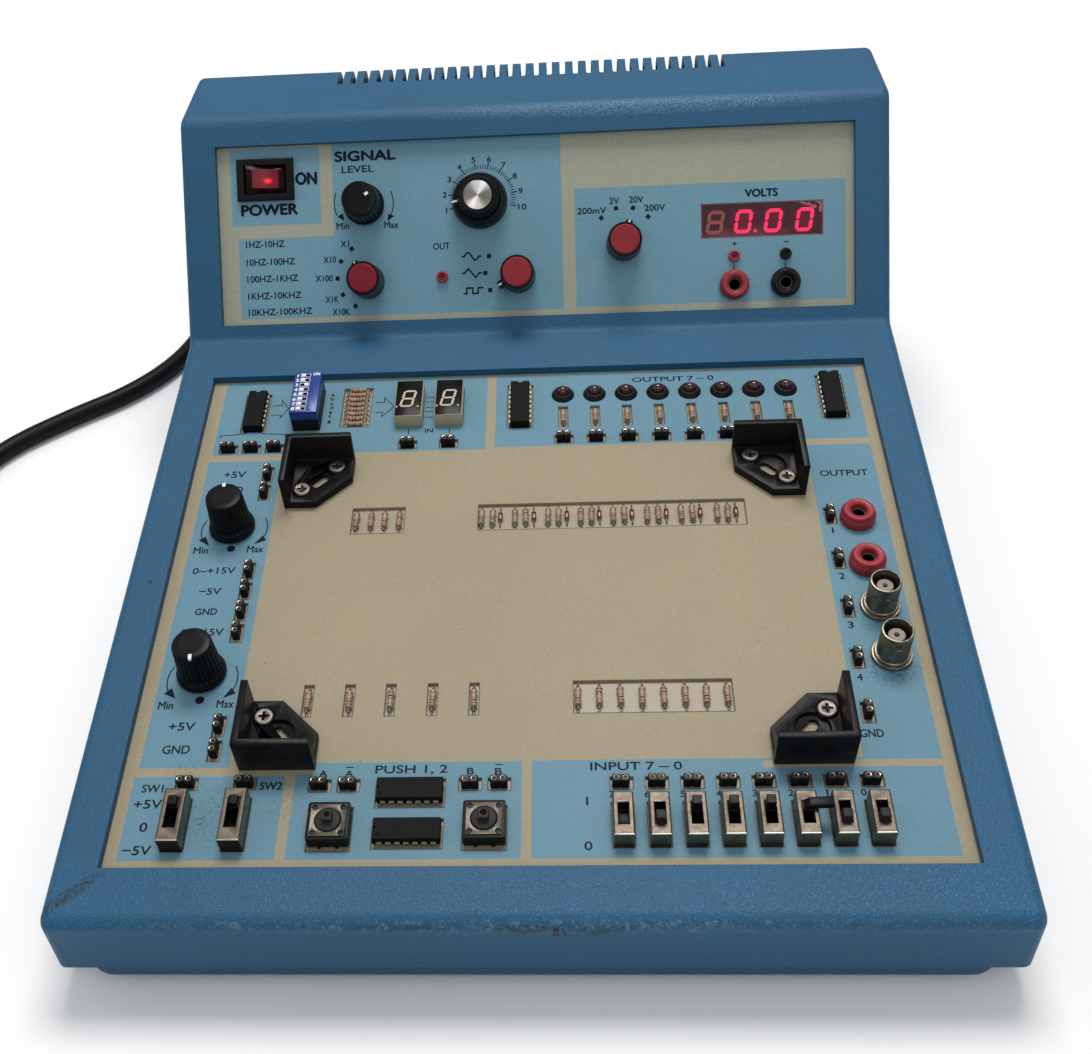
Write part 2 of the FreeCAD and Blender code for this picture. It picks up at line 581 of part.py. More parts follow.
def pot(cx, cy, ztop, depth, w, bush=True):
    """Potentiometer or switch can below ztop with a bushing and a bore for its shaft."""
    b = cbox(cx, cy, w, w, ztop - depth, ztop)
    if bush:
        b = b.fuse(cyl(cx, cy, 4.5, ztop, ztop + 2.0))
    return b.cut(cyl(cx, cy, 3.07, ztop - depth + 1.6, ztop + 3.0))


for i, (u, v) in enumerate(KNOBS_D):
    nm = ("positive_supply_knob", "negative_supply_knob")[i]
    k = knob_plain(u, v, 0.6, 7.9, 6.9, 6.2, 16.0)
    sh = shaft(u, v, PCB_TOP - PCB_T - 8.0, 12.8)
    node(nm, [k, sh], D)
    node("potentiometers", [pot(u, v, PCB_TOP - PCB_T - 2.0, 8.0, 16.0)], D)

zc = CON_PANEL
# level knob
u, s = POTS_C[0]
node("level_knob", [knob_plain(u, s, zc + 0.6, 7.9, 7.3, 6.7, zc + 14.5), shaft(u, s, CON_PCB + 2.2, zc + 11.2)], C)
node("potentiometers", [pot(u, s, zc - PANEL_T - 2.2, -(CON_PCB - (zc - PANEL_T - 2.2)), 16.0)], C)
# frequency dial: wide skirt, upper barrel, spun cap
u, s = POTS_C[1]
k = fuse([cone(u, s, 10.6, 9.8, zc + 0.6, zc + 6.0), cone(u, s, 8.2, 7.2, zc + 5.5, zc + 14.0)])
k = k.cut(cyl(u, s, 3.02, zc - 1, zc + 11.5)).cut(cyl(u, s, 5.45, zc + 13.2, zc + 15))
cap = cyl(u, s, 5.4, zc + 13.2, zc + 14.5)
node("frequency_knob", [k, cap, shaft(u, s, CON_PCB + 2.2, zc + 11.4)], C)
node("potentiometers", [pot(u, s, zc - PANEL_T - 2.2, -(CON_PCB - (zc - PANEL_T - 2.2)), 16.0)], C)
# selector knobs with a red cap and a pointer at the foot
SEL = [("range_knob", ROTARY_C[0], 122.0), ("waveform_knob", ROTARY_C[1], 207.0), ("meter_range_knob", ROTARY_C[2], 75.0)]
for nm, (u, s), ang in SEL:
    b = fuse([cone(u, s, 6.6, 6.3, zc + 0.6, zc + 13.9)]).cut(cyl(u, s, 5.6, zc + 12.6, zc + 15.0))
    fin = Part.makeBox(8.6, 2.8, 4.6, V(0, -1.4, 0))
    fin.Placement = FreeCAD.Placement(V(u, s, zc + 0.6), FreeCAD.Rotation(Z, ang))
    b = b.fuse(fin).cut(cyl(u, s, 3.02, zc - 1, zc + 10.0))
    cp = cyl(u, s, 5.5, zc + 12.6, zc + 14.2)
    cp = round_edges(cp, 0.6, lambda e: abs(e.BoundBox.ZMin - zc - 14.2) < 1e-3)
    node(nm, [b, cp, shaft(u, s, CON_PCB + 2.2, zc + 9.8)], C)
    node("rotary_switches", [pot(u, s, zc - PANEL_T - 2.2, -(CON_PCB - (zc - PANEL_T - 2.2)), 18.0)], C)


# ---------------------------------------------------------------- jacks and coaxial connectors
def banana(u, v, z, r0, r1, h, bore=2.0):
    col = cone(u, v, r0, r1, z, z + h)
    col = round_edges(col, 1.7, lambda e: abs(e.BoundBox.ZMin - z - h) < 1e-3 and abs(e.BoundBox.ZMax - z - h) < 1e-3)
    col = col.fuse(cyl(u, v, 3.95, z - 10.5, z + 0.5))
    col = col.cut(cyl(u, v, 3.0, z - 11.5, z + h - 2.3)).cut(cone(u, v, 2.3, 2.6, z + h - 2.4, z + h + 0.1))
    slv = cyl(u, v, 2.98, z - 12.0, z + h - 2.4).cut(cyl(u, v, bore, z - 10.5, z + h + 1))
    return [col, slv]


for u, v in BANANA_D:
    node("panel_jacks", banana(u, v, 0.0, 5.75, 5.3, 5.0), D)
for u, v in BANANA_C:
    node("panel_jacks", banana(u, v, zc, 5.5, 5.2, 4.6), C)
for u, v in TIP_C:
    col = cyl(u, v, 2.2, zc, zc + 1.6).fuse(cyl(u, v, 1.65, zc - 6.0, zc + 0.5)).cut(cyl(u, v, 1.1, zc - 7, zc + 3))
    slv = cyl(u, v, 1.08, zc - 7.0, zc + 1.2).cut(cyl(u, v, 0.55, zc - 5.0, zc + 3))
    node("panel_jacks", [col, slv], C)

for u, v in BNC:
    sh = fuse([cyl(u, v, 6.2, 0.0, 1.3), cyl(u, v, 5.5, 1.2, 2.4), cyl(u, v, 4.8, 2.2, 12.6), cyl(u, v, 4.7, -9.0, 0.1)])
    sh = sh.cut(cyl(u, v, 4.1, 3.0, 13.5)).cut(cyl(u, v, 2.62, -10.0, 4.0))
    sh = sh.fuse(rod(V(u, v - 5.75, 8.8), V(u, v - 4.4, 8.8), 1.0)).fuse(rod(V(u, v + 4.4, 8.8), V(u, v + 5.75, 8.8), 1.0))
    ins = cyl(u, v, 2.6, -9.0, 10.2).cut(cyl(u, v, 0.72, 1.0, 12.0))
    pin = cyl(u, v, 0.7, 1.0, 9.6).cut(cyl(u, v, 0.4, 4.0, 12.0))
    nut = Part.Face(Part.makePolygon([V(u + 7.2 * math.cos(math.radians(60 * k)), v + 7.2 * math.sin(math.radians(60 * k)), -3.6)
                                      for k in range(7)])).extrude(V(0, 0, 2.3)).cut(cyl(u, v, 4.72, -5, 0))
    node("coaxial_connectors", [sh, ins, pin, nut], D)

# ================================================================ console
cwin = [cbox(ROCKER[0], ROCKER[1], 19.4, 13.2, -10, 0),
        box(WIN[0], WIN[1], WIN[2], WIN[3], -10, 0)]
cwin += [cyl(u, s, 3.6, -10, 0) for u, s in POTS_C + ROTARY_C]
cwin += [cyl(u, s, 4.05, -10, 0) for u, s in BANANA_C]
cwin += [cyl(u, s, 1.75, -10, 0) for u, s in TIP_C]
cpanel = cut(box(-124.0, 124.4, 2.4, 76.6, zc - PANEL_T, zc - 0.02), cwin)
node("console_panel", [cpanel], C)
cpcb = box(-122.0, 122.0, 4.0, 75.0, CON_PCB - PCB_T, CON_PCB)
cpcb = cut(cpcb, [cbox(ROCKER[0], ROCKER[1], 24.0, 22.0, -30, 0)]
           + [cyl(u, s, 4.4, -30, 0) for u, s in BANANA_C + TIP_C])
node("console_board", [cpcb], C)

# illuminated rocker switch
hz = zc
ru, rs = ROCKER
hous = fuse([cbox(ru, rs, 22.0, 15.8, hz, hz + 2.0), cbox(ru, rs, 19.2, 13.0, hz - 15.0, hz + 0.1)])
hous = round_edges(hous, 0.6, lambda e: abs(e.BoundBox.ZMin - hz - 2.0) < 1e-3 and abs(e.BoundBox.ZMax - hz - 2.0) < 1e-3)
hous = hous.cut(cbox(ru, rs, 16.4, 10.9, hz - 9.0, hz + 3.0))
blades = [box(ru + a - 0.4, ru + a + 0.4, rs - 2.4, rs + 2.4, hz - 22.0, hz - 15.0) for a in (-6.5, 0.0, 6.5)]
node("power_switch_housing", [hous] + blades, C)
PIV = hz + 0.5
REST_TILT = 9.0
prof = [(-7.35, 2.7), (0.0, 1.5), (7.35, 2.7), (6.9, -3.4), (-6.9, -3.4)]
rk = Part.Face(Part.makePolygon([V(a, -5.3, b) for a, b in prof + [prof[0]]])).extrude(V(0, 10.6, 0))
rk = round_edges(rk, 0.4, lambda e: along(e, Y) and e.Vertexes[0].Point.z > 2.0)
rk.Placement = FreeCAD.Placement(V(ru, rs, PIV), FreeCAD.Rotation(Y, REST_TILT))
node("power_rocker", [rk], C)

# meter window and display behind it
node("meter_window", [box(WIN[0] + 0.1, WIN[1] - 0.1, WIN[2] + 0.1, WIN[3] - 0.1, zc - 1.6, zc - 0.3)], C)
disp = box(WIN[0] - 1.0, WIN[1] + 1.0, WIN[2] - 2.0, WIN[3] + 2.0, CON_PCB, zc - 3.4)
digits = [box(WIN[0] + 1.0 + 10.9 * i, WIN[0] + 1.0 + 10.9 * i + 10.6, WIN[2] + 0.3, WIN[3] - 0.3, zc - 3.4, zc - 2.2)
          for i in range(4)]
node("meter_display", [disp] + digits, C)

# ================================================================ power supply on the tray floor
FLOOR = Z_FEET + 2.5
tx0, tx1, ty0, ty1 = -98.0, -42.0, 108.0, 153.0
core = box(tx0, tx1, ty0 + 11.0, ty1 - 11.0, FLOOR, FLOOR + 47.0)
core = core.cut(box(tx0 + 9.0, tx0 + 18.0, ty0, ty1, FLOOR + 9.0, FLOOR + 38.0)).cut(
    box(tx1 - 18.0, tx1 - 9.0, ty0, ty1, FLOOR + 9.0, FLOOR + 38.0))
wind = box(tx0 + 9.1, tx1 - 9.1, ty0 + 2.0, ty1 - 2.0, FLOOR + 9.1, FLOOR + 37.9).cut(
    box(tx0 + 18.0, tx1 - 18.0, ty0, ty1, FLOOR + 8.0, FLOOR + 40.0))
psb = box(-20.0, 96.0, 104.0, 154.0, FLOOR + 5.0, FLOOR + 6.6)
pegs = [cyl(x, y, 3.0, FLOOR, FLOOR + 5.0) for x, y in ((-14, 110), (-14, 148), (90, 110), (90, 148))]
sink = box(20.0, 84.0, 140.0, 152.0, FLOOR + 6.6, FLOOR + 34.0).cut(
    Part.makeCompound([box(24.0 + 6 * i, 27.5 + 6 * i, 143.0, 153.0, FLOOR + 6.0, FLOOR + 36.0) for i in range(10)]))
regs = [box(26.0 + 15 * i, 36.0 + 15 * i, 135.4, 140.0, FLOOR + 10.0, FLOOR + 25.0) for i in range(4)]
caps = [cyl(x, y, 8.0, FLOOR + 6.6, FLOOR + 32.0) for x, y in ((-8.0, 118.0), (12.0, 118.0), (32.0, 118.0))]
node("power_supply", [core, wind, psb, sink] + pegs + regs + caps)

# ================================================================ mains lead
EX = V(CORD_X, Y_BACK + 28.0, CORD_Z)
rel = fuse([Part.makeCylinder(9.0, 2.2, V(CORD_X, Y_BACK, CORD_Z), Y),
            Part.makeCone(7.4, 4.9, 26.0, V(CORD_X, Y_BACK + 2.0, CORD_Z), Y),
            Part.makeCylinder(6.0, 5.0, V(CORD_X, Y_BACK - 4.8, CORD_Z), Y)])
node("strain_relief", [rel])

CR = CORD_R + 0.1
ROUTE = [(CORD_X, Y_BACK + 28.0, CORD_Z), (CORD_X, 213.0, 25.8), (-65.6, 235.0, 19.5), (-77.6, 255.9, 13.0),
         (-98.5, 267.9, 7.5), (-122.6, 267.9, CR), (-143.4, 255.9, CR), (-155.4, 235.0, CR), (-156.0, 206.0, CR),
         (-153.5, 173.0, CR), (-160.0, 141.0, CR), (-177.5, 115.5, CR), (-202.0, 98.0, CR), (-226.5, 76.0, CR),
         (-238.5, 48.0, CR), (-237.5, 21.0, CR)]


def tube(pts, r, label):
    P = [V(*p) for p in pts]
    edges = []
    last = P[0]
    radii = []
    for i in range(1, len(P) - 1):
        a, b = P[i].sub(P[i - 1]), P[i + 1].sub(P[i])
        la, lb = a.Length, b.Length
        a.normalize()
        b.normalize()
        turn = math.acos(max(-1.0, min(1.0, a.dot(b))))
        t = 0.45 * min(la, lb)
        radii.append(t / math.tan(turn / 2.0))
        p1 = P[i].sub(V(a.x * t, a.y * t, a.z * t))
        p2 = P[i].add(V(b.x * t, b.y * t, b.z * t))
        bis = b.sub(a)
        bis.normalize()
        R = radii[-1]
        cdist = R / math.cos(turn / 2.0)
        mid = P[i].add(V(bis.x * (cdist - R), bis.y * (cdist - R), bis.z * (cdist - R)))
        edges.append(Part.LineSegment(last, p1).toShape())
        edges.append(Part.Arc(p1, mid, p2).toShape())
        last = p2
    edges.append(Part.LineSegment(last, P[-1]).toShape())
    path = Part.Wire(edges)
    d = P[1].sub(P[0])
    prof = Part.Wire([Part.makeCircle(r, P[0], d)])
    s = path.makePipeShell([prof], True, True)
    L = sum(e.Length for e in edges)
    print(label, "length %.1f" % L, "radii", ["%.0f" % q for q in radii],
          "volume ratio %.5f" % (s.Volume / (math.pi * r * r * L)), "valid", s.isValid())
    return s


lead = tube(ROUTE, CORD_R, "mains lead")
# coil of the length that is put away, wound in two layers
COIL_C = (-289.5, 0.0)
COIL_MID = 44.2
turn_r = 1.5 * CORD_D
coil = cyl(COIL_C[0], COIL_C[1], COIL_MID + turn_r + 0.2, 0.0, 2 * CORD_D + 0.2).cut(
    cyl(COIL_C[0], COIL_C[1], COIL_MID - turn_r - 0.2, -1.0, 30.0))
node("cord_coil", [coil])
# tail from the upper outer turn to the plug
TAIL_X = COIL_C[0] + COIL_MID + CORD_D
TZ = 1.5 * CORD_D
tail = rod(V(TAIL_X, COIL_C[1] - 22.0, TZ), V(TAIL_X, COIL_C[1] - 46.0, TZ), CORD_R)
node("power_cord", [lead, tail])
py = COIL_C[1] - 46.0
plug_body = fuse([Part.makeCone(6.2, 9.0, 14.0, V(TAIL_X, py, TZ), V(0, -1, 0)),
                  box(TAIL_X - 12.0, TAIL_X + 12.0, py - 36.0, py - 13.0, 0.4, 2 * TZ - 0.4)])
plug_body = round_edges(plug_body, 1.5, lambda e: along(e, Y) and abs(abs(mids(e).x - TAIL_X) - 12.0) < 0.1)
pins = [box(TAIL_X + a - 0.75, TAIL_X + a + 0.75, py - 53.0, py - 36.0, TZ - 3.2, TZ + 3.2) for a in (-6.35, 6.35)]
node("mains_plug", [plug_body] + pins)

# ================================================================ write the parts
if len(NODES) > 60:
    raise SystemExit("too many nodes: %d" % len(NODES))
for name, shapes in NODES.items():
    sol = []
    for s in shapes:
        sol += s.Solids
    for k, s in enumerate(sol):
        if not s.isValid() or s.Volume <= 0:
            print("check", name, k, s.isValid(), s.Volume)
    out = sol[0] if len(sol) == 1 else Part.makeCompound(sol)
    out.exportStep("parts/%s.step" % name)
print(len(NODES), "nodes,", sum(len([x for s in v for x in s.Solids]) for v in NODES.values()), "solids")
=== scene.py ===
import bpy, bmesh, math, random
from mathutils import Matrix, Vector


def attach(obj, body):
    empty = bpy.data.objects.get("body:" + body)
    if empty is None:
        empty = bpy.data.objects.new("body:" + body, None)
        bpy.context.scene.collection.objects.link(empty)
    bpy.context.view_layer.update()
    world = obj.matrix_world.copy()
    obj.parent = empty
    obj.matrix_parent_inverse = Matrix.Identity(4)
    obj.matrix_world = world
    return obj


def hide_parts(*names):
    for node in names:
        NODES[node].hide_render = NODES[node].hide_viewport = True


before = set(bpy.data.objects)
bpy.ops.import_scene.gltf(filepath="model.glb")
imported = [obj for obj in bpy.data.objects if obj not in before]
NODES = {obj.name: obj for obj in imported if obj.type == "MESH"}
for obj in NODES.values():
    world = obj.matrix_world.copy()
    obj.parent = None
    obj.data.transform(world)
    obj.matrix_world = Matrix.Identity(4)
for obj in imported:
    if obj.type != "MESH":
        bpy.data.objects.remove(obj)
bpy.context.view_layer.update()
rnd = random.Random(7)

# ------------------------------------------------------------------ working frames, millimetres
MM = Matrix.Scale(0.001, 4)
FW = Matrix.Identity(4)
FD = Matrix.Translation((0, -150.39, 31.10)) @ Matrix.Rotation(math.radians(6.0), 4, "X")
FC = FD @ Matrix.Translation((0, 224.5, 3.0)) @ Matrix.Rotation(math.radians(46.35), 4, "X")

# ------------------------------------------------------------------ camera at the photograph's angle
cam_data = bpy.data.cameras.new("view_camera")
cam = bpy.data.objects.new("view_camera", cam_data)
bpy.context.scene.collection.objects.link(cam)
right, down, ahead = (Vector((0.99736145, 0.0361792, -0.06293805)), Vector((-0.02180478, -0.67764192, -0.73506869)),
                      Vector((-0.06924366, 0.73450153, -0.67506505)))
m = Matrix((right, -down, -ahead)).transposed().to_4x4()
m.translation = (0.01363327, -0.36164041, 0.34617643)
cam.matrix_world = m
cam_data.sensor_width = 36.0
cam_data.lens = 44.55
cam_data.shift_x = 0.0601
cam_data.shift_y = 0.0171
cam_data.clip_start = 0.01
bpy.context.scene.camera = cam

# ------------------------------------------------------------------ mains lead
CORD_D = 7.8
CR = CORD_D / 2.0 + 0.1
ROUTE = [(-66.0, 195.6, 26.0), (-66.0, 213.0, 25.8), (-65.6, 235.0, 19.5), (-77.6, 255.9, 13.0),
         (-98.5, 267.9, 7.5), (-122.6, 267.9, CR), (-143.4, 255.9, CR), (-155.4, 235.0, CR), (-156.0, 206.0, CR),
         (-153.5, 173.0, CR), (-160.0, 141.0, CR), (-177.5, 115.5, CR), (-202.0, 98.0, CR), (-226.5, 76.0, CR),
         (-238.5, 48.0, CR), (-237.5, 21.0, CR)]
COIL = (-289.5, 0.0)


def ease(a, b, t):
    t = min(1.0, max(0.0, t))
    return a + (b - a) * t * t * (3 - 2 * t)


def coil_point(t):
    """Neat coil in two layers: in over the lower one, out over the upper one."""
    if t < 3.0:
        r = 52.0 if t < 0.7 else (ease(52.0, 44.2, (t - 0.7) / 0.3) if t < 1.7 else ease(44.2, 36.4, (t - 1.7) / 0.3))
        if t > 2.72:
            r = ease(36.4, 44.2, (t - 2.72) / 0.28)
    else:
        r = ease(44.2, 52.0, (t - 3.72) / 0.28)
    z = ease(CR + 0.05, 11.7, (t - 2.0) / 0.62)
    a = -2 * math.pi * t
    r = r / 0.981
    return (COIL[0] + r * math.cos(a), COIL[1] + r * math.sin(a), z)


TURN_N = 16
coil_pts = [coil_point((k - 0.5) / TURN_N) for k in range(0, 5 * TURN_N + 2)]
TAIL = [(-237.5, -23.0, 11.7), (-237.5, -46.0, 11.7), (-237.5, -52.0, 11.7)]
line = ROUTE + coil_pts + TAIL
cd = bpy.data.curves.new("mains_lead", "CURVE")
cd.dimensions = "3D"
sp = cd.splines.new("NURBS")
sp.points.add(len(line) - 1)
for p, q in zip(sp.points, line):
    p.co = (q[0] * 0.001, q[1] * 0.001, q[2] * 0.001, 1.0)
    p.radius = CORD_D / 2000.0
sp.order_u = 3
sp.use_endpoint_u = True
cd.resolution_u = 8
cd.bevel_depth = 1.0
cd.bevel_resolution = 6
cd.use_fill_caps = True
lead = bpy.data.objects.new("mains_lead", cd)
bpy.context.scene.collection.objects.link(lead)
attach(lead, "root")
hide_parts("power_cord", "cord_coil")


# ------------------------------------------------------------------ mesh builder
class Build:
    """Collects solids, given in millimetres in one working frame, into one mesh object."""

    def __init__(self, name, M=FW):
        self.name, self.M = name, M
        self.v, self.f, self.fm, self.mats = [], [], [], []

    def mi(self, mat):
        if mat not in self.mats:
            self.mats.append(mat)
        return self.mats.index(mat)

    def put(self, verts, faces, mat, T=None, mats=None):
        k = len(self.v)
        if T is not None:
            verts = [T @ Vector(v) for v in verts]
        self.v += [Vector(v) for v in verts]
        for i, f in enumerate(faces):
            self.f.append([a + k for a in f])
            self.fm.append(self.mi(mats[i] if mats else mat))

    def _bm(self, bm, mat, T):
        bm.verts.index_update()
        self.put([v.co.copy() for v in bm.verts], [[v.index for v in f.verts] for f in bm.faces], mat, T)
        bm.free()

    def box(self, x0, x1, y0, y1, z0, z1, mat, bev=0.0, seg=2, T=None):
        bm = bmesh.new()
        bmesh.ops.create_cube(bm, size=1.0)
        for v in bm.verts:
            v.co = Vector(((x0 + x1) / 2 + v.co.x * (x1 - x0), (y0 + y1) / 2 + v.co.y * (y1 - y0),
                           (z0 + z1) / 2 + v.co.z * (z1 - z0)))
        if bev > 0:
            bmesh.ops.bevel(bm, geom=bm.edges[:], offset=bev, segments=seg, profile=0.5, affect="EDGES", clamp_overlap=True)
        self._bm(bm, mat, T)

    def cbox(self, cx, cy, w, l, z0, z1, mat, bev=0.0, seg=2, T=None):
        self.box(cx - w / 2, cx + w / 2, cy - l / 2, cy + l / 2, z0, z1, mat, bev, seg, T)

    def prism(self, pts, z0, z1, mat, bev=0.0, seg=2, T=None, top_only=False):
        bm = bmesh.new()
        lo = [bm.verts.new((x, y, z0)) for x, y in pts]
        f = bm.faces.new(lo)
        r = bmesh.ops.extrude_face_region(bm, geom=[f])
        for e in r["geom"]:
            if isinstance(e, bmesh.types.BMVert):
                e.co.z = z1
        bmesh.ops.recalc_face_normals(bm, faces=bm.faces[:])
        if bev > 0:
            es = [e for e in bm.edges if not top_only or all(abs(v.co.z - z1) < 1e-6 for v in e.verts)]
            bmesh.ops.bevel(bm, geom=es, offset=bev, segments=seg, profile=0.5, affect="EDGES", clamp_overlap=True)
        self._bm(bm, mat, T)

    def lathe(self, prof, cx, cy, mat, seg=48, T=None, mats=None, flute=None, a0=0.0):
        """prof is [(r, z), ...]; flute is (count, depth, z low, z high, duty)."""
        vs, fs, ms = [], [], []
        rings = []
        for r, z in prof:
            if r < 1e-6:
                vs.append((cx, cy, z))
                rings.append([len(vs) - 1])
                continue
            ring = []
            for k in range(seg):
                a = a0 + 2 * math.pi * k / seg
                rr = r
                if flute and flute[2] <= z <= flute[3]:
                    c = math.cos(flute[0] * (a - a0))
                    rr = r - flute[1] * (0.5 - 0.5 * math.tanh(3.0 * (c + flute[4])))
                vs.append((cx + rr * math.cos(a), cy + rr * math.sin(a), z))
                ring.append(len(vs) - 1)
            rings.append(ring)
        for i in range(len(rings) - 1):
            A, B = rings[i], rings[i + 1]
            mt = mats[i] if mats else mat
            for k in range(seg):
                k2 = (k + 1) % seg
                if len(A) == 1 and len(B) == 1:
                    continue
                if len(A) == 1:
                    fs.append([A[0], B[k2], B[k]])
                elif len(B) == 1:
                    fs.append([A[k], A[k2], B[0]])
                else:
                    fs.append([A[k], A[k2], B[k2], B[k]])
                ms.append(mt)
        self.put(vs, fs, mat, T, ms)

    def disc(self, cx, cy, r, z0, z1, mat, seg=32, bev=0.0, T=None):
        b = min(bev, r * 0.5, (z1 - z0) * 0.5)
        pr = [(0, z0), (r, z0), (r, z1 - b)] + ([(r - b * 0.3, z1 - b * 0.3), (r - b, z1)] if b > 0 else [(r, z1)]) + [(0, z1)]
        if b == 0:
            pr = [(0, z0), (r, z0), (r, z1), (0, z1)]
        self.lathe(pr, cx, cy, mat, seg, T)

    def ring(self, cx, cy, ri, ro, z0, z1, mat, seg=32, bev=0.15, T=None):
        b = bev
        pr = [(ri, z0), (ro, z0), (ro, z1 - b), (ro - b * 0.3, z1 - b * 0.3), (ro - b, z1), (ri + b, z1),
              (ri + b * 0.3, z1 - b * 0.3), (ri, z1 - b), (ri, z0)]
        self.lathe(pr, cx, cy, mat, seg, T)

    def tube(self, pts, r, mat, seg=8, T=None, caps=True):
        P = [Vector(p) for p in pts]
        vs, fs = [], []
        up = None
        for i, p in enumerate(P):
            d = (P[min(i + 1, len(P) - 1)] - P[max(i - 1, 0)]).normalized()
            if up is None:
                up = Vector((0, 0, 1)) if abs(d.z) < 0.9 else Vector((1, 0, 0))
            s = d.cross(up).normalized()
            up = s.cross(d).normalized()
            for k in range(seg):
                a = 2 * math.pi * k / seg
                vs.append(p + s * (r * math.cos(a)) + up * (r * math.sin(a)))
        for i in range(len(P) - 1):
            for k in range(seg):
                k2 = (k + 1) % seg
                fs.append([i * seg + k, i * seg + k2, (i + 1) * seg + k2, (i + 1) * seg + k])
        if caps:
            fs.append(list(range(seg)))
            fs.append([(len(P) - 1) * seg + k for k in range(seg)])
        self.put(vs, fs, mat, T)

    def done(self, body, replaces=(), angle=35.0):
        me = bpy.data.meshes.new(self.name)
        M = MM @ self.M
        me.from_pydata([M @ v for v in self.v], [], self.f)
        for mt in self.mats:
            me.materials.append(mt)
        me.polygons.foreach_set("material_index", self.fm)
        bm = bmesh.new()
        bm.from_mesh(me)
        bmesh.ops.recalc_face_normals(bm, faces=bm.faces[:])
        bm.to_mesh(me)
        bm.free()
        me.polygons.foreach_set("use_smooth", [True] * len(me.polygons))
        me.set_sharp_from_angle(angle=math.radians(angle))
        me.update()
        ob = bpy.data.objects.new(self.name, me)
        bpy.context.scene.collection.objects.link(ob)
        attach(ob, body)
        if replaces:
            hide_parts(*replaces)
        return ob


def place(x, y, z=0.0, deg=0.0):
    return Matrix.Translation((x, y, z)) @ Matrix.Rotation(math.radians(deg), 4, "Z")


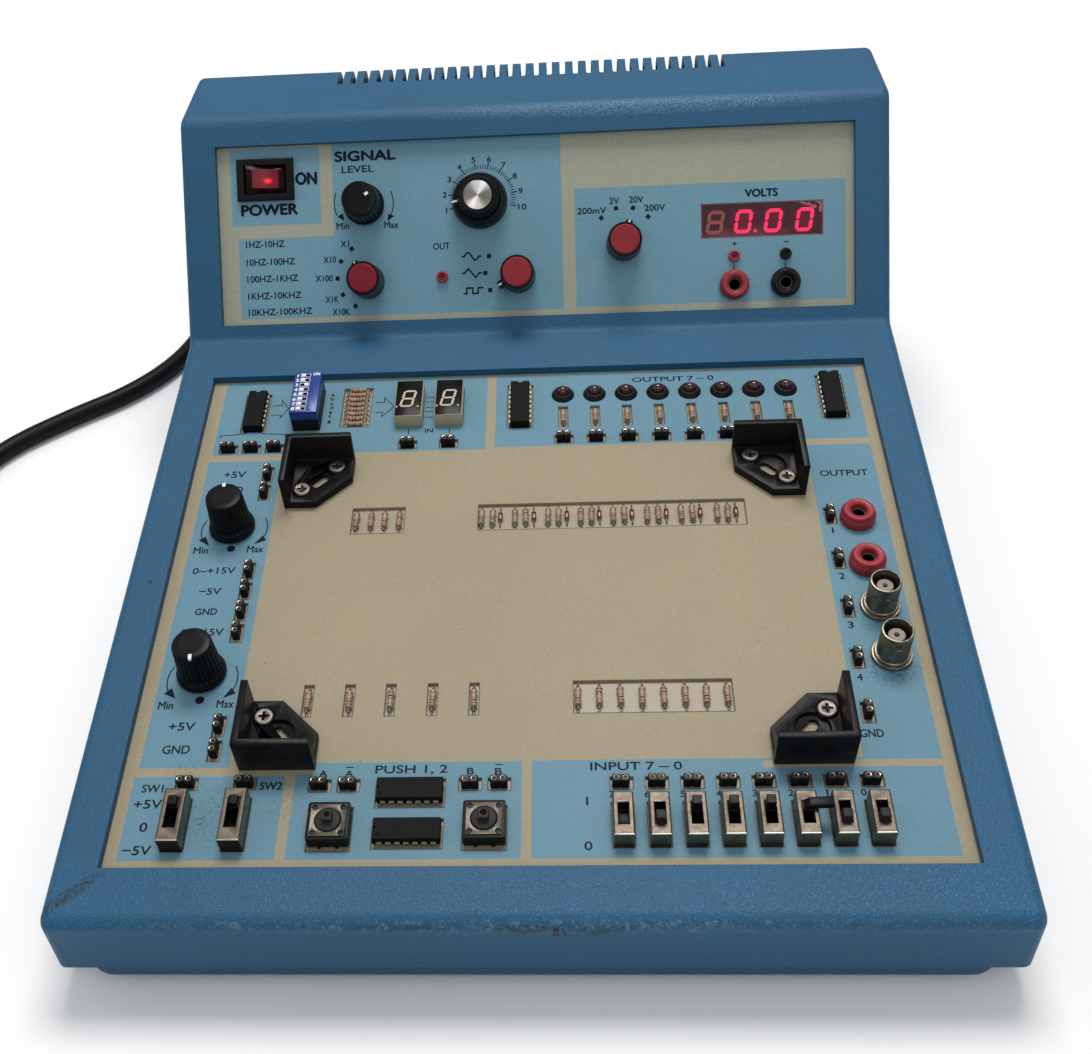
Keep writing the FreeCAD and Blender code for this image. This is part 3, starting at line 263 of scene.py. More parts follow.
# ------------------------------------------------------------------ procedural materials
class NT:
    """Short hand for a node tree."""

    def __init__(self, name):
        self.mat = bpy.data.materials.new(name)
        self.mat.use_nodes = True
        self.t = self.mat.node_tree
        self.n = self.t.nodes
        self.l = self.t.links
        self.b = self.n["Principled BSDF"]
        self.tc = self.n.new("ShaderNodeTexCoord")
        self.co = self.tc.outputs["Object"]

    def link(self, a, b):
        self.l.new(a, b)

    def inp(self, node, key, val):
        if hasattr(val, "is_linked") or isinstance(val, bpy.types.NodeSocket):
            self.l.new(val, node.inputs[key])
        else:
            node.inputs[key].default_value = val

    def math(self, op, a, b=0.0, c=None, clamp=False):
        n = self.n.new("ShaderNodeMath")
        n.operation = op
        n.use_clamp = clamp
        self.inp(n, 0, a)
        self.inp(n, 1, b)
        if c is not None:
            self.inp(n, 2, c)
        return n.outputs[0]

    def noise(self, scale, detail=3.0, rough=0.5, co=None, dist=0.0):
        n = self.n.new("ShaderNodeTexNoise")
        self.l.new(co or self.co, n.inputs["Vector"])
        n.inputs["Scale"].default_value = scale
        n.inputs["Detail"].default_value = detail
        n.inputs["Roughness"].default_value = rough
        n.inputs["Distortion"].default_value = dist
        return n.outputs["Fac"]

    def voronoi(self, scale, feature="F1", co=None, rand=1.0, out="Distance"):
        n = self.n.new("ShaderNodeTexVoronoi")
        n.feature = feature
        self.l.new(co or self.co, n.inputs["Vector"])
        n.inputs["Scale"].default_value = scale
        n.inputs["Randomness"].default_value = rand
        return n.outputs[out]

    def ramp(self, fac, stops, interp="LINEAR"):
        n = self.n.new("ShaderNodeValToRGB")
        cr = n.color_ramp
        cr.interpolation = interp
        while len(cr.elements) < len(stops):
            cr.elements.new(0.5)
        for e, (p, c) in zip(cr.elements, stops):
            e.position = p
            e.color = (*c, 1.0) if not isinstance(c, (int, float)) else (c, c, c, 1.0)
        self.l.new(fac, n.inputs["Fac"])
        return n.outputs["Color"]

    def mix(self, fac, a, b, blend="MIX"):
        n = self.n.new("ShaderNodeMix")
        n.data_type = "RGBA"
        n.blend_type = blend
        self.inp(n, 0, fac)
        for k, v in ((6, a), (7, b)):
            if isinstance(v, (tuple, list)):
                n.inputs[k].default_value = (*v, 1.0)
            else:
                self.l.new(v, n.inputs[k])
        return n.outputs[2]

    def sep(self, vec):
        n = self.n.new("ShaderNodeSeparateXYZ")
        self.l.new(vec, n.inputs[0])
        return n.outputs

    def mapped(self, M):
        """Object coordinates taken into a working frame, in millimetres: M is that frame."""
        inv = (MM @ M).inverted()
        sx = self.sep(self.co)
        n = self.n.new("ShaderNodeCombineXYZ")
        for k in range(3):
            acc = self.math("MULTIPLY", sx[0], inv[k][0])
            acc = self.math("MULTIPLY_ADD", sx[1], inv[k][1], acc)
            acc = self.math("MULTIPLY_ADD", sx[2], inv[k][2], acc)
            acc = self.math("ADD", acc, inv[k][3])
            self.l.new(acc, n.inputs[k])
        return n.outputs[0]

    def rect(self, s, u0, u1, v0, v1, soft=0.25):
        """1 inside a rectangle of the frame coordinates s, with soft edges."""
        a = self.math("DIVIDE", self.math("SUBTRACT", s[0], u0), soft, clamp=True)
        b = self.math("DIVIDE", self.math("SUBTRACT", u1, s[0]), soft, clamp=True)
        c = self.math("DIVIDE", self.math("SUBTRACT", s[1], v0), soft, clamp=True)
        d = self.math("DIVIDE", self.math("SUBTRACT", v1, s[1]), soft, clamp=True)
        return self.math("MULTIPLY", self.math("MULTIPLY", a, b), self.math("MULTIPLY", c, d))

    def blob(self, s, cu, cv, ru, rv, deg=0.0, soft=1.0):
        """1 in the middle of an ellipse, falling to 0 at its rim."""
        ca, sa = math.cos(math.radians(deg)), math.sin(math.radians(deg))
        du, dv = self.math("SUBTRACT", s[0], cu), self.math("SUBTRACT", s[1], cv)
        a = self.math("DIVIDE", self.math("ADD", self.math("MULTIPLY", du, ca), self.math("MULTIPLY", dv, sa)), ru)
        b = self.math("DIVIDE", self.math("SUBTRACT", self.math("MULTIPLY", dv, ca), self.math("MULTIPLY", du, sa)), rv)
        r = self.math("SQRT", self.math("ADD", self.math("MULTIPLY", a, a), self.math("MULTIPLY", b, b)))
        return self.math("MULTIPLY", self.math("SUBTRACT", 1.0, r), soft, clamp=True)

    def bump(self, height, dist=0.0001, strength=1.0, after=None):
        n = self.n.new("ShaderNodeBump")
        n.inputs["Strength"].default_value = strength
        n.inputs["Distance"].default_value = dist
        self.l.new(height, n.inputs["Height"])
        if after is not None:
            self.l.new(after, n.inputs["Normal"])
        return n.outputs["Normal"]

    def out(self, color=None, rough=None, metal=None, normal=None, **k):
        if color is not None:
            self.inp(self.b, "Base Color", color if not isinstance(color, tuple) else (*color, 1.0))
        if rough is not None:
            self.inp(self.b, "Roughness", rough)
        if metal is not None:
            self.inp(self.b, "Metallic", metal)
        if normal is not None:
            self.l.new(normal, self.b.inputs["Normal"])
        for key, v in k.items():
            self.b.inputs[key.replace("_", " ")].default_value = v
        return self.mat


def srgb(r, g, b):
    f = lambda c: (c / 255.0 / 12.92) if c / 255.0 <= 0.04045 else ((c / 255.0 + 0.055) / 1.055) ** 2.4
    return (f(r), f(g), f(b))


def shade(c, k):
    return tuple(max(0.0, min(1.0, x * k)) for x in c)


def plastic(name, col, rough=0.45, var=0.18, vs=60.0, grain=0.00003, gs=1500.0, spec=0.5, dust=0.0, coat=0.0):
    """Moulded plastic: slight mottling, fine texture and uneven gloss."""
    t = NT(name)
    if max(col) < 0.05 and spec == 0.5:
        spec, col = 0.11, shade(col, 0.5)
    n1 = t.noise(vs, 4.0, 0.6)
    c = t.mix(t.ramp(n1, [(0.3, 0.0), (0.7, 1.0)]), shade(col, 1 - var), shade(col, 1 + var))
    n2 = t.noise(gs, 2.0, 0.5)
    if dust > 0:
        d = t.ramp(t.noise(vs * 9, 5.0, 0.75), [(0.58, 0.0), (0.78, dust)])
        c = t.mix(d, c, (0.16, 0.155, 0.145))
    r = t.math("ADD", t.math("MULTIPLY", n1, 0.2), rough - 0.1)
    return t.out(color=c, rough=r, normal=t.bump(n2, grain, 1.0), Specular_IOR_Level=spec, Coat_Weight=coat)


def metal(name, col, rough=0.3, var=0.15, vs=90.0, tarnish=None, tf=0.4, bs=700.0, bump=0.00001, brushed=None):
    t = NT(name)
    co = t.co
    if brushed:
        mp = t.n.new("ShaderNodeMapping")
        mp.inputs["Scale"].default_value = brushed
        t.l.new(t.co, mp.inputs["Vector"])
        co = mp.outputs[0]
    n1 = t.noise(vs, 5.0, 0.65)
    n2 = t.noise(bs, 2.0, 0.5, co=co)
    c = t.mix(t.ramp(n1, [(0.3, 0.0), (0.7, 1.0)]), shade(col, 1 - var), shade(col, 1 + var * 0.6))
    r = t.math("ADD", t.math("MULTIPLY", n2, 0.22), rough - 0.11)
    if tarnish:
        k = t.ramp(t.noise(vs * 3.1, 6.0, 0.7), [(0.62 - tf * 0.3, 0.0), (0.68, tf + 0.35)])
        c = t.mix(k, c, tarnish)
        r = t.math("ADD", r, t.math("MULTIPLY", k, 0.25))
    return t.out(color=c, rough=r, metal=1.0, normal=t.bump(n2, bump, 1.0))


# blue leather-grained case
def case_material(name, col, wear_and_sheen=True):
    t = NT(name)
    big = t.noise(9.0, 4.0, 0.55)
    fine = t.noise(2400.0, 2.0, 0.6)
    vor = t.voronoi(1700.0, "SMOOTH_F1")
    lump = t.noise(900.0, 2.0, 0.55, dist=0.6)
    grain = t.math("ADD", t.math("MULTIPLY", vor, 0.8), t.math("ADD", t.math("MULTIPLY", fine, 0.5), t.math("MULTIPLY", lump, 0.9)))
    c = t.mix(t.ramp(big, [(0.3, 0.0), (0.7, 1.0)]), shade(col, 0.93), shade(col, 1.07))
    c = t.mix(t.ramp(vor, [(0.0, 0.35), (0.4, 0.0)]), c, shade(col, 0.62))
    # grains catching the light, thicker towards the front and the right
    w = t.sep(t.mapped(FD))
    where = t.math("ADD", t.math("MULTIPLY_ADD", w[0], 0.0016, 0.30), t.math("MULTIPLY", t.math("DIVIDE", t.math("SUBTRACT", 6.0, w[1]), 12.0, clamp=True), 0.55), clamp=True)
    g1 = t.noise(2700.0, 1.0, 0.5)
    g2 = t.noise(70.0, 3.0, 0.6)
    speck = t.math("MULTIPLY", t.ramp(g1, [(0.60, 0.0), (0.70, 1.0)]), t.math("MULTIPLY", t.math("MULTIPLY", where, t.math("MULTIPLY_ADD", g2, 1.3, 0.15)), t.math("DIVIDE", t.math("ADD", w[2], 2.6), 2.0, clamp=True)))
    c = t.mix(speck, c, shade(col, 2.8))
    r = t.math("ADD", t.math("MULTIPLY", big, 0.10), t.math("ADD", t.math("MULTIPLY", fine, 0.16), 0.36))
    if wear_and_sheen:
        d = t.sep(t.mapped(FD))
        streak = t.noise(900.0, 6.0, 0.8, dist=0.4)
        scrape = t.math("MULTIPLY", t.blob(d, -126.9, -8.4, 13.5, 2.3, 40.0, 2.2), t.ramp(streak, [(0.42, 0.0), (0.56, 1.0)]))
        c = t.mix(t.math("MULTIPLY", scrape, 0.85), c, (0.012, 0.018, 0.022))
        for cu, cv, ru, rv, dg, k in ((6.5, -17.6, 1.6, 1.0, 60.0, 0.95), (9.5, -18.6, 2.4, 0.45, -60.0, 0.9), (-2.0, -17.0, 12.0, 0.55, 0.0, 0.6),
                                      (18.0, -17.2, 11.0, 0.5, 2.0, 0.45), (-125.3, 103.3, 0.9, 0.9, 0.0, 1.0), (-36.0, -17.0, 16.0, 0.5, 0.0, 0.35)):
            bl = t.math("MULTIPLY", t.blob(d, cu, cv, ru, rv, dg, 3.0), t.math("DIVIDE", t.math("ADD", d[2], 3.4), 1.0, clamp=True))
            c = t.mix(t.math("MULTIPLY", t.math("MULTIPLY", bl, t.ramp(streak, [(0.36, 0.15), (0.55, 1.0)])), k), c, (0.008, 0.012, 0.016))
        # pale grains along the shoulder over the console: rubbed grain plus a painted highlight where the bend catches
        # the light
        e = t.sep(t.mapped(FC))
        sh = t.math("MULTIPLY", t.blob(e, 40.0, 82.0, 95.0, 3.6, 0.0, 2.0), t.ramp(t.noise(1900.0, 2.0, 0.6), [(0.46, 0.0), (0.62, 1.0)]))
        c = t.mix(t.math("MULTIPLY", sh, 0.42), c, srgb(134, 168, 196))
        # pale rubbed ridge along the front edge, plus a painted highlight where the edge catches the light
        for cu, cv, ru, rv in ((0.0, -16.4, 140.0, 1.3),):
            bl = t.blob(d, cu, cv, ru, rv, 0.0, 2.0)
            c = t.mix(t.math("MULTIPLY", t.math("MULTIPLY", bl, t.ramp(t.noise(500.0, 4.0, 0.8), [(0.5, 0.0), (0.66, 1.0)])), 0.5), c, srgb(120, 150, 170))
    nb = t.bump(grain, 0.00016, 0.9)
    return t.out(color=c, rough=r, normal=nb, Specular_IOR_Level=0.24)


CASE = srgb(35, 82, 113)
M_case = case_material("case_blue_grain", CASE)
M_case_low = case_material("case_blue_lower", shade(CASE, 0.80), wear_and_sheen=False)

CREAM = srgb(152, 141, 116)
CREAM2 = srgb(156, 157, 138)
PALE = srgb(96, 135, 152)
PALE2 = srgb(106, 147, 164)
EDGE = srgb(150, 145, 128)


def print_material(name, M, zones, notches, CREAM, PALE):
    """Printed panel: blue zones on cream, with dust, specks and a faint orange-peel."""
    t = NT(name)
    s = t.sep(t.mapped(M))
    z = None
    for r in zones:
        k = t.rect(s, *r, soft=0.35)
        z = k if z is None else t.math("MAXIMUM", z, k)
    for r in notches:
        z = t.math("MULTIPLY", z, t.math("SUBTRACT", 1.0, t.rect(s, *r, soft=0.35)))
    fine = t.noise(1300.0, 3.0, 0.7)
    soft = t.noise(14.0, 3.0, 0.5)
    cream = t.mix(t.ramp(soft, [(0.3, 0.0), (0.7, 1.0)]), shade(CREAM, 0.95), shade(CREAM, 1.04))
    blue = t.mix(t.ramp(soft, [(0.3, 0.0), (0.7, 1.0)]), shade(PALE, 0.95), shade(PALE, 1.04))
    c = t.mix(z, cream, blue)
    # worn yellowish fringe where blue meets cream
    fr = t.math("MULTIPLY", t.math("MULTIPLY", z, t.math("SUBTRACT", 1.0, z)), 2.0, clamp=True)
    c = t.mix(fr, c, srgb(160, 148, 108))
    c = t.mix(t.ramp(fine, [(0.35, 0.16), (0.6, 0.0)]), c, (0.05, 0.07, 0.08))
    dirt = t.ramp(t.noise(170.0, 5.0, 0.7), [(0.66, 0.0), (0.76, 0.55)])
    c = t.mix(dirt, c, srgb(120, 105, 80))
    sp = t.ramp(t.voronoi(105.0, "F1"), [(0.0, 0.9), (0.045, 0.0)])
    c = t.mix(t.math("MULTIPLY", sp, t.ramp(t.noise(40.0, 2.0), [(0.5, 0.0), (0.6, 1.0)])), c, (0.05, 0.04, 0.03))
    return t, s, z, c, fine


DZ = [(-115.7, -16.8, 164.0, 202.9), (-14.0, 116.9, 164.8, 202.9), (-116.2, -88.9, 33.6, 161.5), (94.3, 116.8, 34.5, 162.3),
      (-117.0, -71.5, 3.4, 31.2), (-69.1, -2.6, 3.4, 35.4), (-0.3, 116.4, 3.4, 35.5)]
DN = [(-70.0, -63.4, 31.4, 36.5), (66.0, 118.0, 32.0, 34.5)]
t, s, z, c, fine = print_material("deck_print", FD, DZ, DN, CREAM, PALE)
# grime round the coaxial sockets and the left switch
for cu, cv, ru, rv, k in ((108.3, 67.0, 11.5, 9.0, 1.0), (108.2, 86.0, 10.0, 8.0, 0.7), (-91.5, 17.0, 9.0, 13.0, 0.6), (-71.0, 20.0, 8.0, 9.0, 0.4), (-101.0, 33.0, 9.0, 4.0, 0.4)):
    g = t.math("MULTIPLY", t.blob(s, cu, cv, ru, rv, 0.0, 1.5), t.ramp(t.noise(900.0, 5.0, 0.85), [(0.5, 0.0), (0.62, k)]))
    c = t.mix(g, c, (0.02, 0.035, 0.035))
M_deck = t.out(color=c, rough=t.math("ADD", t.math("MULTIPLY", fine, 0.15), 0.42), normal=t.bump(fine, 0.00004, 1.0), Specular_IOR_Level=0.18)

CZ = [(-115.5, -80.4, 43.5, 73.0), (-75.9, 11.9, 8.0, 75.5), (-113.4, -70.0, 8.0, 39.1), (16.4, 118.0, 8.4, 53.3)]
t, s, z, c, fine = print_material("console_print", FC, CZ, [], CREAM2, PALE2)
M_console = t.out(color=c, rough=t.math("ADD", t.math("MULTIPLY", fine, 0.15), 0.42), normal=t.bump(fine, 0.00004, 1.0), Specular_IOR_Level=0.18)

# board seen in the cut-outs: cream lacquer
M_board = plastic("board_lacquer", srgb(140, 128, 106), 0.4, 0.12, 180.0, 0.00002, 900.0)
M_black = plastic("black_moulding", (0.018, 0.018, 0.02), 0.38, 0.3, 120.0, 0.00002, 1400.0)
M_bracket = plastic("bracket_moulding", (0.012, 0.012, 0.014), 0.33, 0.35, 160.0, 0.00005, 900.0, dust=0.22)
M_knob = plastic("knob_moulding", (0.010, 0.010, 0.012), 0.3, 0.3, 200.0, 0.00002, 1600.0, dust=0.10)
M_dialskirt = plastic("dial_moulding", (0.008, 0.008, 0.009), 0.32, 0.3, 200.0, 0.00002, 1600.0, dust=0.06)
M_redcap = plastic("red_cap", srgb(132, 38, 46), 0.5, 0.10, 140.0, 0.00004, 1500.0, spec=0.15)
M_redcap_d = plastic("red_cap_deep", srgb(112, 26, 36), 0.5, 0.10, 140.0, 0.00004, 1500.0, spec=0.15)
M_hole = plastic("jack_mouth", (0.03, 0.022, 0.02), 0.5, 0.2, 400.0)
M_redjack = plastic("red_jack", srgb(140, 40, 50), 0.38, 0.14, 140.0, 0.00003, 1200.0, spec=0.3)
M_blackjack = plastic("black_jack", (0.016, 0.016, 0.018), 0.3, 0.3, 140.0, 0.00003, 1200.0)
# near-black, used mostly as painted shade inside holes and bores
M_dark = plastic("dark_hollow", (0.004, 0.004, 0.004), 0.7, 0.3, 100.0)
M_white = plastic("white_mark", (0.78, 0.78, 0.75), 0.5, 0.05, 200.0)
M_ink = plastic("legend_ink", (0.006, 0.009, 0.018), 0.5, 0.25, 300.0, 0.00001, spec=0.08)
M_cream = plastic("cream_moulding", srgb(170, 160, 128), 0.45, 0.08, 200.0)
M_grey = plastic("grey_moulding", srgb(62, 62, 60), 0.45, 0.15, 200.0, 0.00003)
M_lever = plastic("lever_moulding", (0.008, 0.008, 0.011), 0.35, 0.3, 260.0, dust=0.05)
M_lever_grey = plastic("lever_grey", srgb(50, 47, 53), 0.4, 0.2, 260.0, dust=0.15)
M_dipblue = plastic("dip_blue", srgb(20, 54, 128), 0.3, 0.10, 150.0, 0.00002)
M_chip = plastic("chip_epoxy", (0.006, 0.006, 0.0066), 0.6, 0.35, 300.0, 0.00004, 1100.0, dust=0.02)
M_insul = plastic("white_insulator", srgb(126, 116, 104), 0.4, 0.1, 200.0)
M_rubber = plastic("cord_rubber", (0.012, 0.012, 0.015), 0.42, 0.25, 60.0, 0.00003, 700.0)
M_foot = plastic("foot_rubber", (0.02, 0.02, 0.02), 0.6, 0.2, 60.0, 0.00005, 700.0)
M_frame = metal("switch_frame", srgb(92, 83, 74), 0.42, 0.16, 260.0, tarnish=srgb(96, 84, 70), tf=0.25)
M_frameside = metal("switch_frame_side", srgb(124, 128, 116), 0.45, 0.25, 300.0, tarnish=srgb(50, 58, 52), tf=0.4)
# near-white metal for the front top bevels of the switch frames: painted highlight along the edges
M_frame_edge_highlight = metal("switch_frame_edge_highlight", srgb(238, 228, 214), 0.2, 0.05, 260.0)
M_pin = metal("tinned_pin", srgb(205, 200, 190), 0.25, 0.15, 400.0)
M_gold = metal("pin_shell", srgb(158, 146, 128), 0.28, 0.2, 400.0, tarnish=srgb(130, 110, 84), tf=0.2)
M_lead = metal("component_lead", srgb(140, 130, 116), 0.35, 0.2, 300.0)
M_screw = metal("bright_screw", srgb(108, 102, 95), 0.4, 0.12, 300.0, tarnish=srgb(120, 108, 100), tf=0.15)
M_cover = metal("brushed_cover", srgb(90, 84, 76), 0.4, 0.12, 300.0, tarnish=srgb(70, 64, 56), tf=0.25, bs=1500.0, bump=0.00003)
M_bnc = metal("tarnished_shell", srgb(126, 124, 114), 0.42, 0.25, 170.0, tarnish=srgb(64, 66, 56), tf=0.5)
M_icpin = metal("package_pin", srgb(196, 190, 178), 0.55, 0.2, 400.0, tarnish=srgb(70, 62, 52), tf=0.3)
M_brown = plastic("open_end", srgb(58, 42, 38), 0.5, 0.2, 200.0)
M_bncring = metal("worn_flange", srgb(138, 128, 114), 0.3, 0.15, 170.0, tarnish=srgb(110, 98, 80), tf=0.35)
M_spun = metal("spun_cap", srgb(212, 208, 204), 0.24, 0.06, 300.0)
M_zinc = metal("zinc_screw", srgb(170, 168, 164), 0.35, 0.12, 200.0)
M_can = metal("control_can", srgb(180, 180, 178), 0.4, 0.1, 200.0)
M_core = metal("laminated_core", srgb(110, 108, 106), 0.5, 0.2, 200.0, tarnish=srgb(80, 60, 46), tf=0.3)




# ------------------------------------------------------------------ layout, millimetres in the deck and console frames
DATA_U = [25.6 + 10.03 * i for i in range(8)]
LED_U = [10.7 + 11.48 * i for i in range(8)]
LED_V = 191.3
SOCK_H = [(-110.0, 167.6), (-101.6, 167.6), (-93.2, 167.6), (-45.0, 167.7), (-30.4, 167.7),
          (-100.9, 28.5), (-83.6, 28.5), (-61.5, 27.6), (-53.1, 27.6), (-17.8, 27.7), (-9.4, 27.7)]
SOCK_H += [(u - 0.1, 27.6) for u in DATA_U] + [(u, 168.5) for u in LED_U]
SOCK_V = [(-93.7, 154.7), (-93.8, 146.0), (-94.1, 110.1), (-94.1, 101.6), (-94.2, 92.8), (-94.3, 84.2),
          (-94.4, 48.8), (-94.4, 40.1), (98.2, 129.0), (98.2, 109.7), (98.2, 90.0), (98.2, 70.4), (98.2, 50.9)]
ICS = [(-102.3, 186.1, 7, True), (-4.9, 185.8, 8, True), (106.9, 186.5, 8, True), (-34.8, 25.0, 7, False), (-34.85, 11.9, 7, False)]
SW_BIG = [(-101.4, 14.9), (-84.0, 14.9)]
TACT = [(-57.0, 13.8), (-13.1, 14.0)]
SEG7 = [(-45.1, 186.4), (-30.5, 186.4)]
KNOBS_D = [(-102.4, 129.2), (-102.7, 68.0)]
GROUPS = [-17.3, -6.0, 5.1, 16.0, 26.9, 38.3, 49.6, 61.4]
ROW_A = [(u, 131.1) for u in (-60.0, -55.0, -50.3, -45.3)]
ROW_B = [(g + k, 131.2) for g in GROUPS for k in (0.0, 3.6)]
ROW_C = [(u, 57.3) for u in (13.9, 20.1, 26.4, 33.0, 39.5, 45.7, 52.0, 58.2)]
ROW_D = [(u, 57.2) for u in (-68.3, -55.6, -43.0, -30.2, -17.5)]
ROW_E = [(u, 179.8) for u in LED_U]
RES_H = [(-65.0, 178.9 + 2.54 * i) for i in range(8)]
DIODES = [(g + 6.3, 131.6) for g in GROUPS]
PCB = -1.0
ZC = -3.0
DI = (MM @ FD).inverted()
CI = (MM @ FC).inverted()


def paint(node, *mats, pick=None):
    """Gives a kept CAD node its materials."""
    me = NODES[node].data
    me.materials.clear()
    for mt in mats:
        me.materials.append(mt)
    me.polygons.foreach_set("material_index", [0 if pick is None else pick(p.center, p.normal) for p in me.polygons])


def soften(name, node, body, bev, mats, pick=None, inv=None, angle=30.0, seg=2, smooth=32.0, post=None):
    """A finer copy of a CAD node: its edges rounded, its faces given materials by loose part and place."""
    me = NODES[node].data.copy()
    me.name = name
    bm = bmesh.new()
    bm.from_mesh(me)
    bmesh.ops.remove_doubles(bm, verts=bm.verts, dist=1e-6)
    bmesh.ops.dissolve_limit(bm, angle_limit=math.radians(0.3), verts=bm.verts, edges=bm.edges)
    for e in bm.edges:
        e.smooth = True
    bm.faces.ensure_lookup_table()
    inv = inv or DI
    part, parts = {}, []
    for f in bm.faces:
        if f in part:
            continue
        stack, group = [f], []
        part[f] = len(parts)
        while stack:
            g = stack.pop()
            group.append(g)
            for e in g.edges:
                for h in e.link_faces:
                    if h not in part:
                        part[h] = len(parts)
                        stack.append(h)
        co = [inv @ v.co for g in group for v in g.verts]
        parts.append((Vector([min(c[k] for c in co) for k in range(3)]), Vector([max(c[k] for c in co) for k in range(3)])))
    nrm = inv.to_3x3()
    for f in bm.faces:
        lo, hi = parts[part[f]]
        f.material_index = 0 if pick is None else pick(inv @ f.calc_center_median(), (nrm @ f.normal).normalized(), lo, hi)
    if bev > 0:
        es = [e for e in bm.edges if len(e.link_faces) == 2 and e.calc_face_angle(0.0) > math.radians(angle)]
        bmesh.ops.bevel(bm, geom=es, offset=bev * 0.001, segments=seg, profile=0.5, affect="EDGES", clamp_overlap=False)
    if post is not None:
        for f in bm.faces:
            k = post(inv @ f.calc_center_median(), (nrm @ f.normal).normalized(), f.material_index)
            if k is not None:
                f.material_index = k
    me.materials.clear()
    for mt in mats:
        me.materials.append(mt)
    bm.to_mesh(me)
    bm.free()
    me.polygons.foreach_set("use_smooth", [True] * len(me.polygons))
    me.set_sharp_from_angle(angle=math.radians(smooth))
    me.update()
    ob = bpy.data.objects.new(name, me)
    bpy.context.scene.collection.objects.link(ob)
    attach(ob, body)
    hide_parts(node)
    return ob


def loft(b, outlines, mat, T=None, mats=None):
    """outlines is [(points, z), ...] from low to high, all with the same number of points."""
    n = len(outlines[0][0])
    vs, fs, ms = [], [], []
    for pts, z in outlines:
        vs += [(x, y, z) for x, y in pts]
    for i in range(len(outlines) - 1):
        for k in range(n):
            k2 = (k + 1) % n
            fs.append([i * n + k, i * n + k2, (i + 1) * n + k2, (i + 1) * n + k])
            ms.append(mats[i] if mats else mat)
    fs.append(list(range(n))[::-1])
    fs.append([(len(outlines) - 1) * n + k for k in range(n)])
    ms += [mats[0] if mats else mat, mats[-1] if mats else mat]
    b.put(vs, fs, mat, T, ms)


def grow(pts, k):
    """Moves each point of a small outline about its centre by k mm in x and in y."""
    return [(x + (k if x > 0 else -k), y + (k if y > 0 else -k)) for x, y in pts]


def lying(u, v, z, deg):
    """Axis of a lathe laid down in the deck plane, turned by deg."""
    return Matrix.Translation((u, v, z)) @ Matrix.Rotation(math.radians(deg), 4, "Z") @ Matrix.Rotation(math.radians(90), 4, "Y")


# ------------------------------------------------------------------ two-way sockets
b = Build("sockets_fine", FD)
wl = [(-2.5, -0.85), (-2.15, -1.2), (-0.35, -1.2), (0.0, -0.85), (0.35, -1.2), (2.15, -1.2), (2.5, -0.85),
      (2.5, 0.85), (2.15, 1.2), (0.35, 1.2), (0.0, 0.85), (-0.35, 1.2), (-2.15, 1.2), (-2.5, 0.85)]
for (u, v), deg in [(p, 0.0) for p in SOCK_H] + [(p, 90.0) for p in SOCK_V]:
    T = place(u + rnd.uniform(-0.08, 0.08), v + rnd.uniform(-0.08, 0.08), 0.0, deg + rnd.uniform(-1.2, 1.2))
    ins = [(x * 0.93, y * 0.88) for x, y in wl]
    loft(b, [(wl, PCB), (wl, 2.62), ([(x * 0.98, y * 0.97) for x, y in wl], 2.86), (ins, 3.0)], M_black, T)
    for s in (-1.27, 1.27):
        # the pin bores are lined and floored with near-black: painted shade in the holes
        b.lathe([(0.0, 1.4), (0.42, 1.4), (0.42, 2.85), (0.62, 3.08), (0.80, 3.12), (0.86, 3.02), (0.86, 2.6)], s, 0.0, M_gold, 20, T,
                mats=[M_dark, M_dark, M_gold, M_gold, M_gold, M_gold])
b.done("root", ("socket_strips",))

# ------------------------------------------------------------------ in-line packages
b = Build("packages_fine", FD)
for u, v, n, vert in ICS:
    T = place(u, v, 0.0, 0.0 if vert else 90.0)
    w, l = 3.55, (2.54 * n + 1.5) / 2.0
    arc = [(1.0 * math.cos(a), l - 1.0 * math.sin(a)) for a in [math.radians(x) for x in range(0, 181, 20)]]

    def out(k, notch):
        pts = [(-w + k, -l + k), (w - k, -l + k), (w - k, l - k)]
        pts += [(x, min(y, l - k) if notch else l - k) for x, y in arc]
        pts += [(-w + k, l - k)]
        return pts
    loft(b, [(out(0.22, False), -0.4), (out(0.0, False), 1.0), (out(0.0, False), 1.2), (out(0.12, False), 2.05),
             (out(0.13, True), 2.06), (out(0.20, True), 2.82), (out(0.27, True), 2.9)], M_chip, T)
    b.lathe([(0.0, 2.905), (0.62, 2.905), (0.7, 2.92)], -1.9, l - 1.6, M_dark, 20, T)
    for k in range(n):
        y = (k - (n - 1) / 2.0) * 2.54
        for s in (-1, 1):
            S = T @ Matrix.Diagonal((s, 1, 1, 1))
            b.box(3.4, 3.9, y - 0.76, y + 0.76, 0.98, 1.23, M_icpin, 0.05, 1, S)
            b.box(3.72, 3.97, y - 0.76, y + 0.76, 0.05, 1.21, M_icpin, 0.05, 1, S)
            pts = [(y - 0.74, 0.1), (y - 0.25, -0.4), (y - 0.25, -1.0), (y + 0.25, -1.0), (y + 0.25, -0.4), (y + 0.74, 0.1)]
            vs = [(3.74, p, q) for p, q in pts] + [(3.96, p, q) for p, q in pts]
            fs = [[0, 1, 2, 3, 4, 5], [6, 7, 8, 9, 10, 11]] + [[i, (i + 1) % 6, 6 + (i + 1) % 6, 6 + i] for i in range(6)]
            b.put(vs, fs, M_icpin, S)
b.done("root", ("integrated_circuits",))

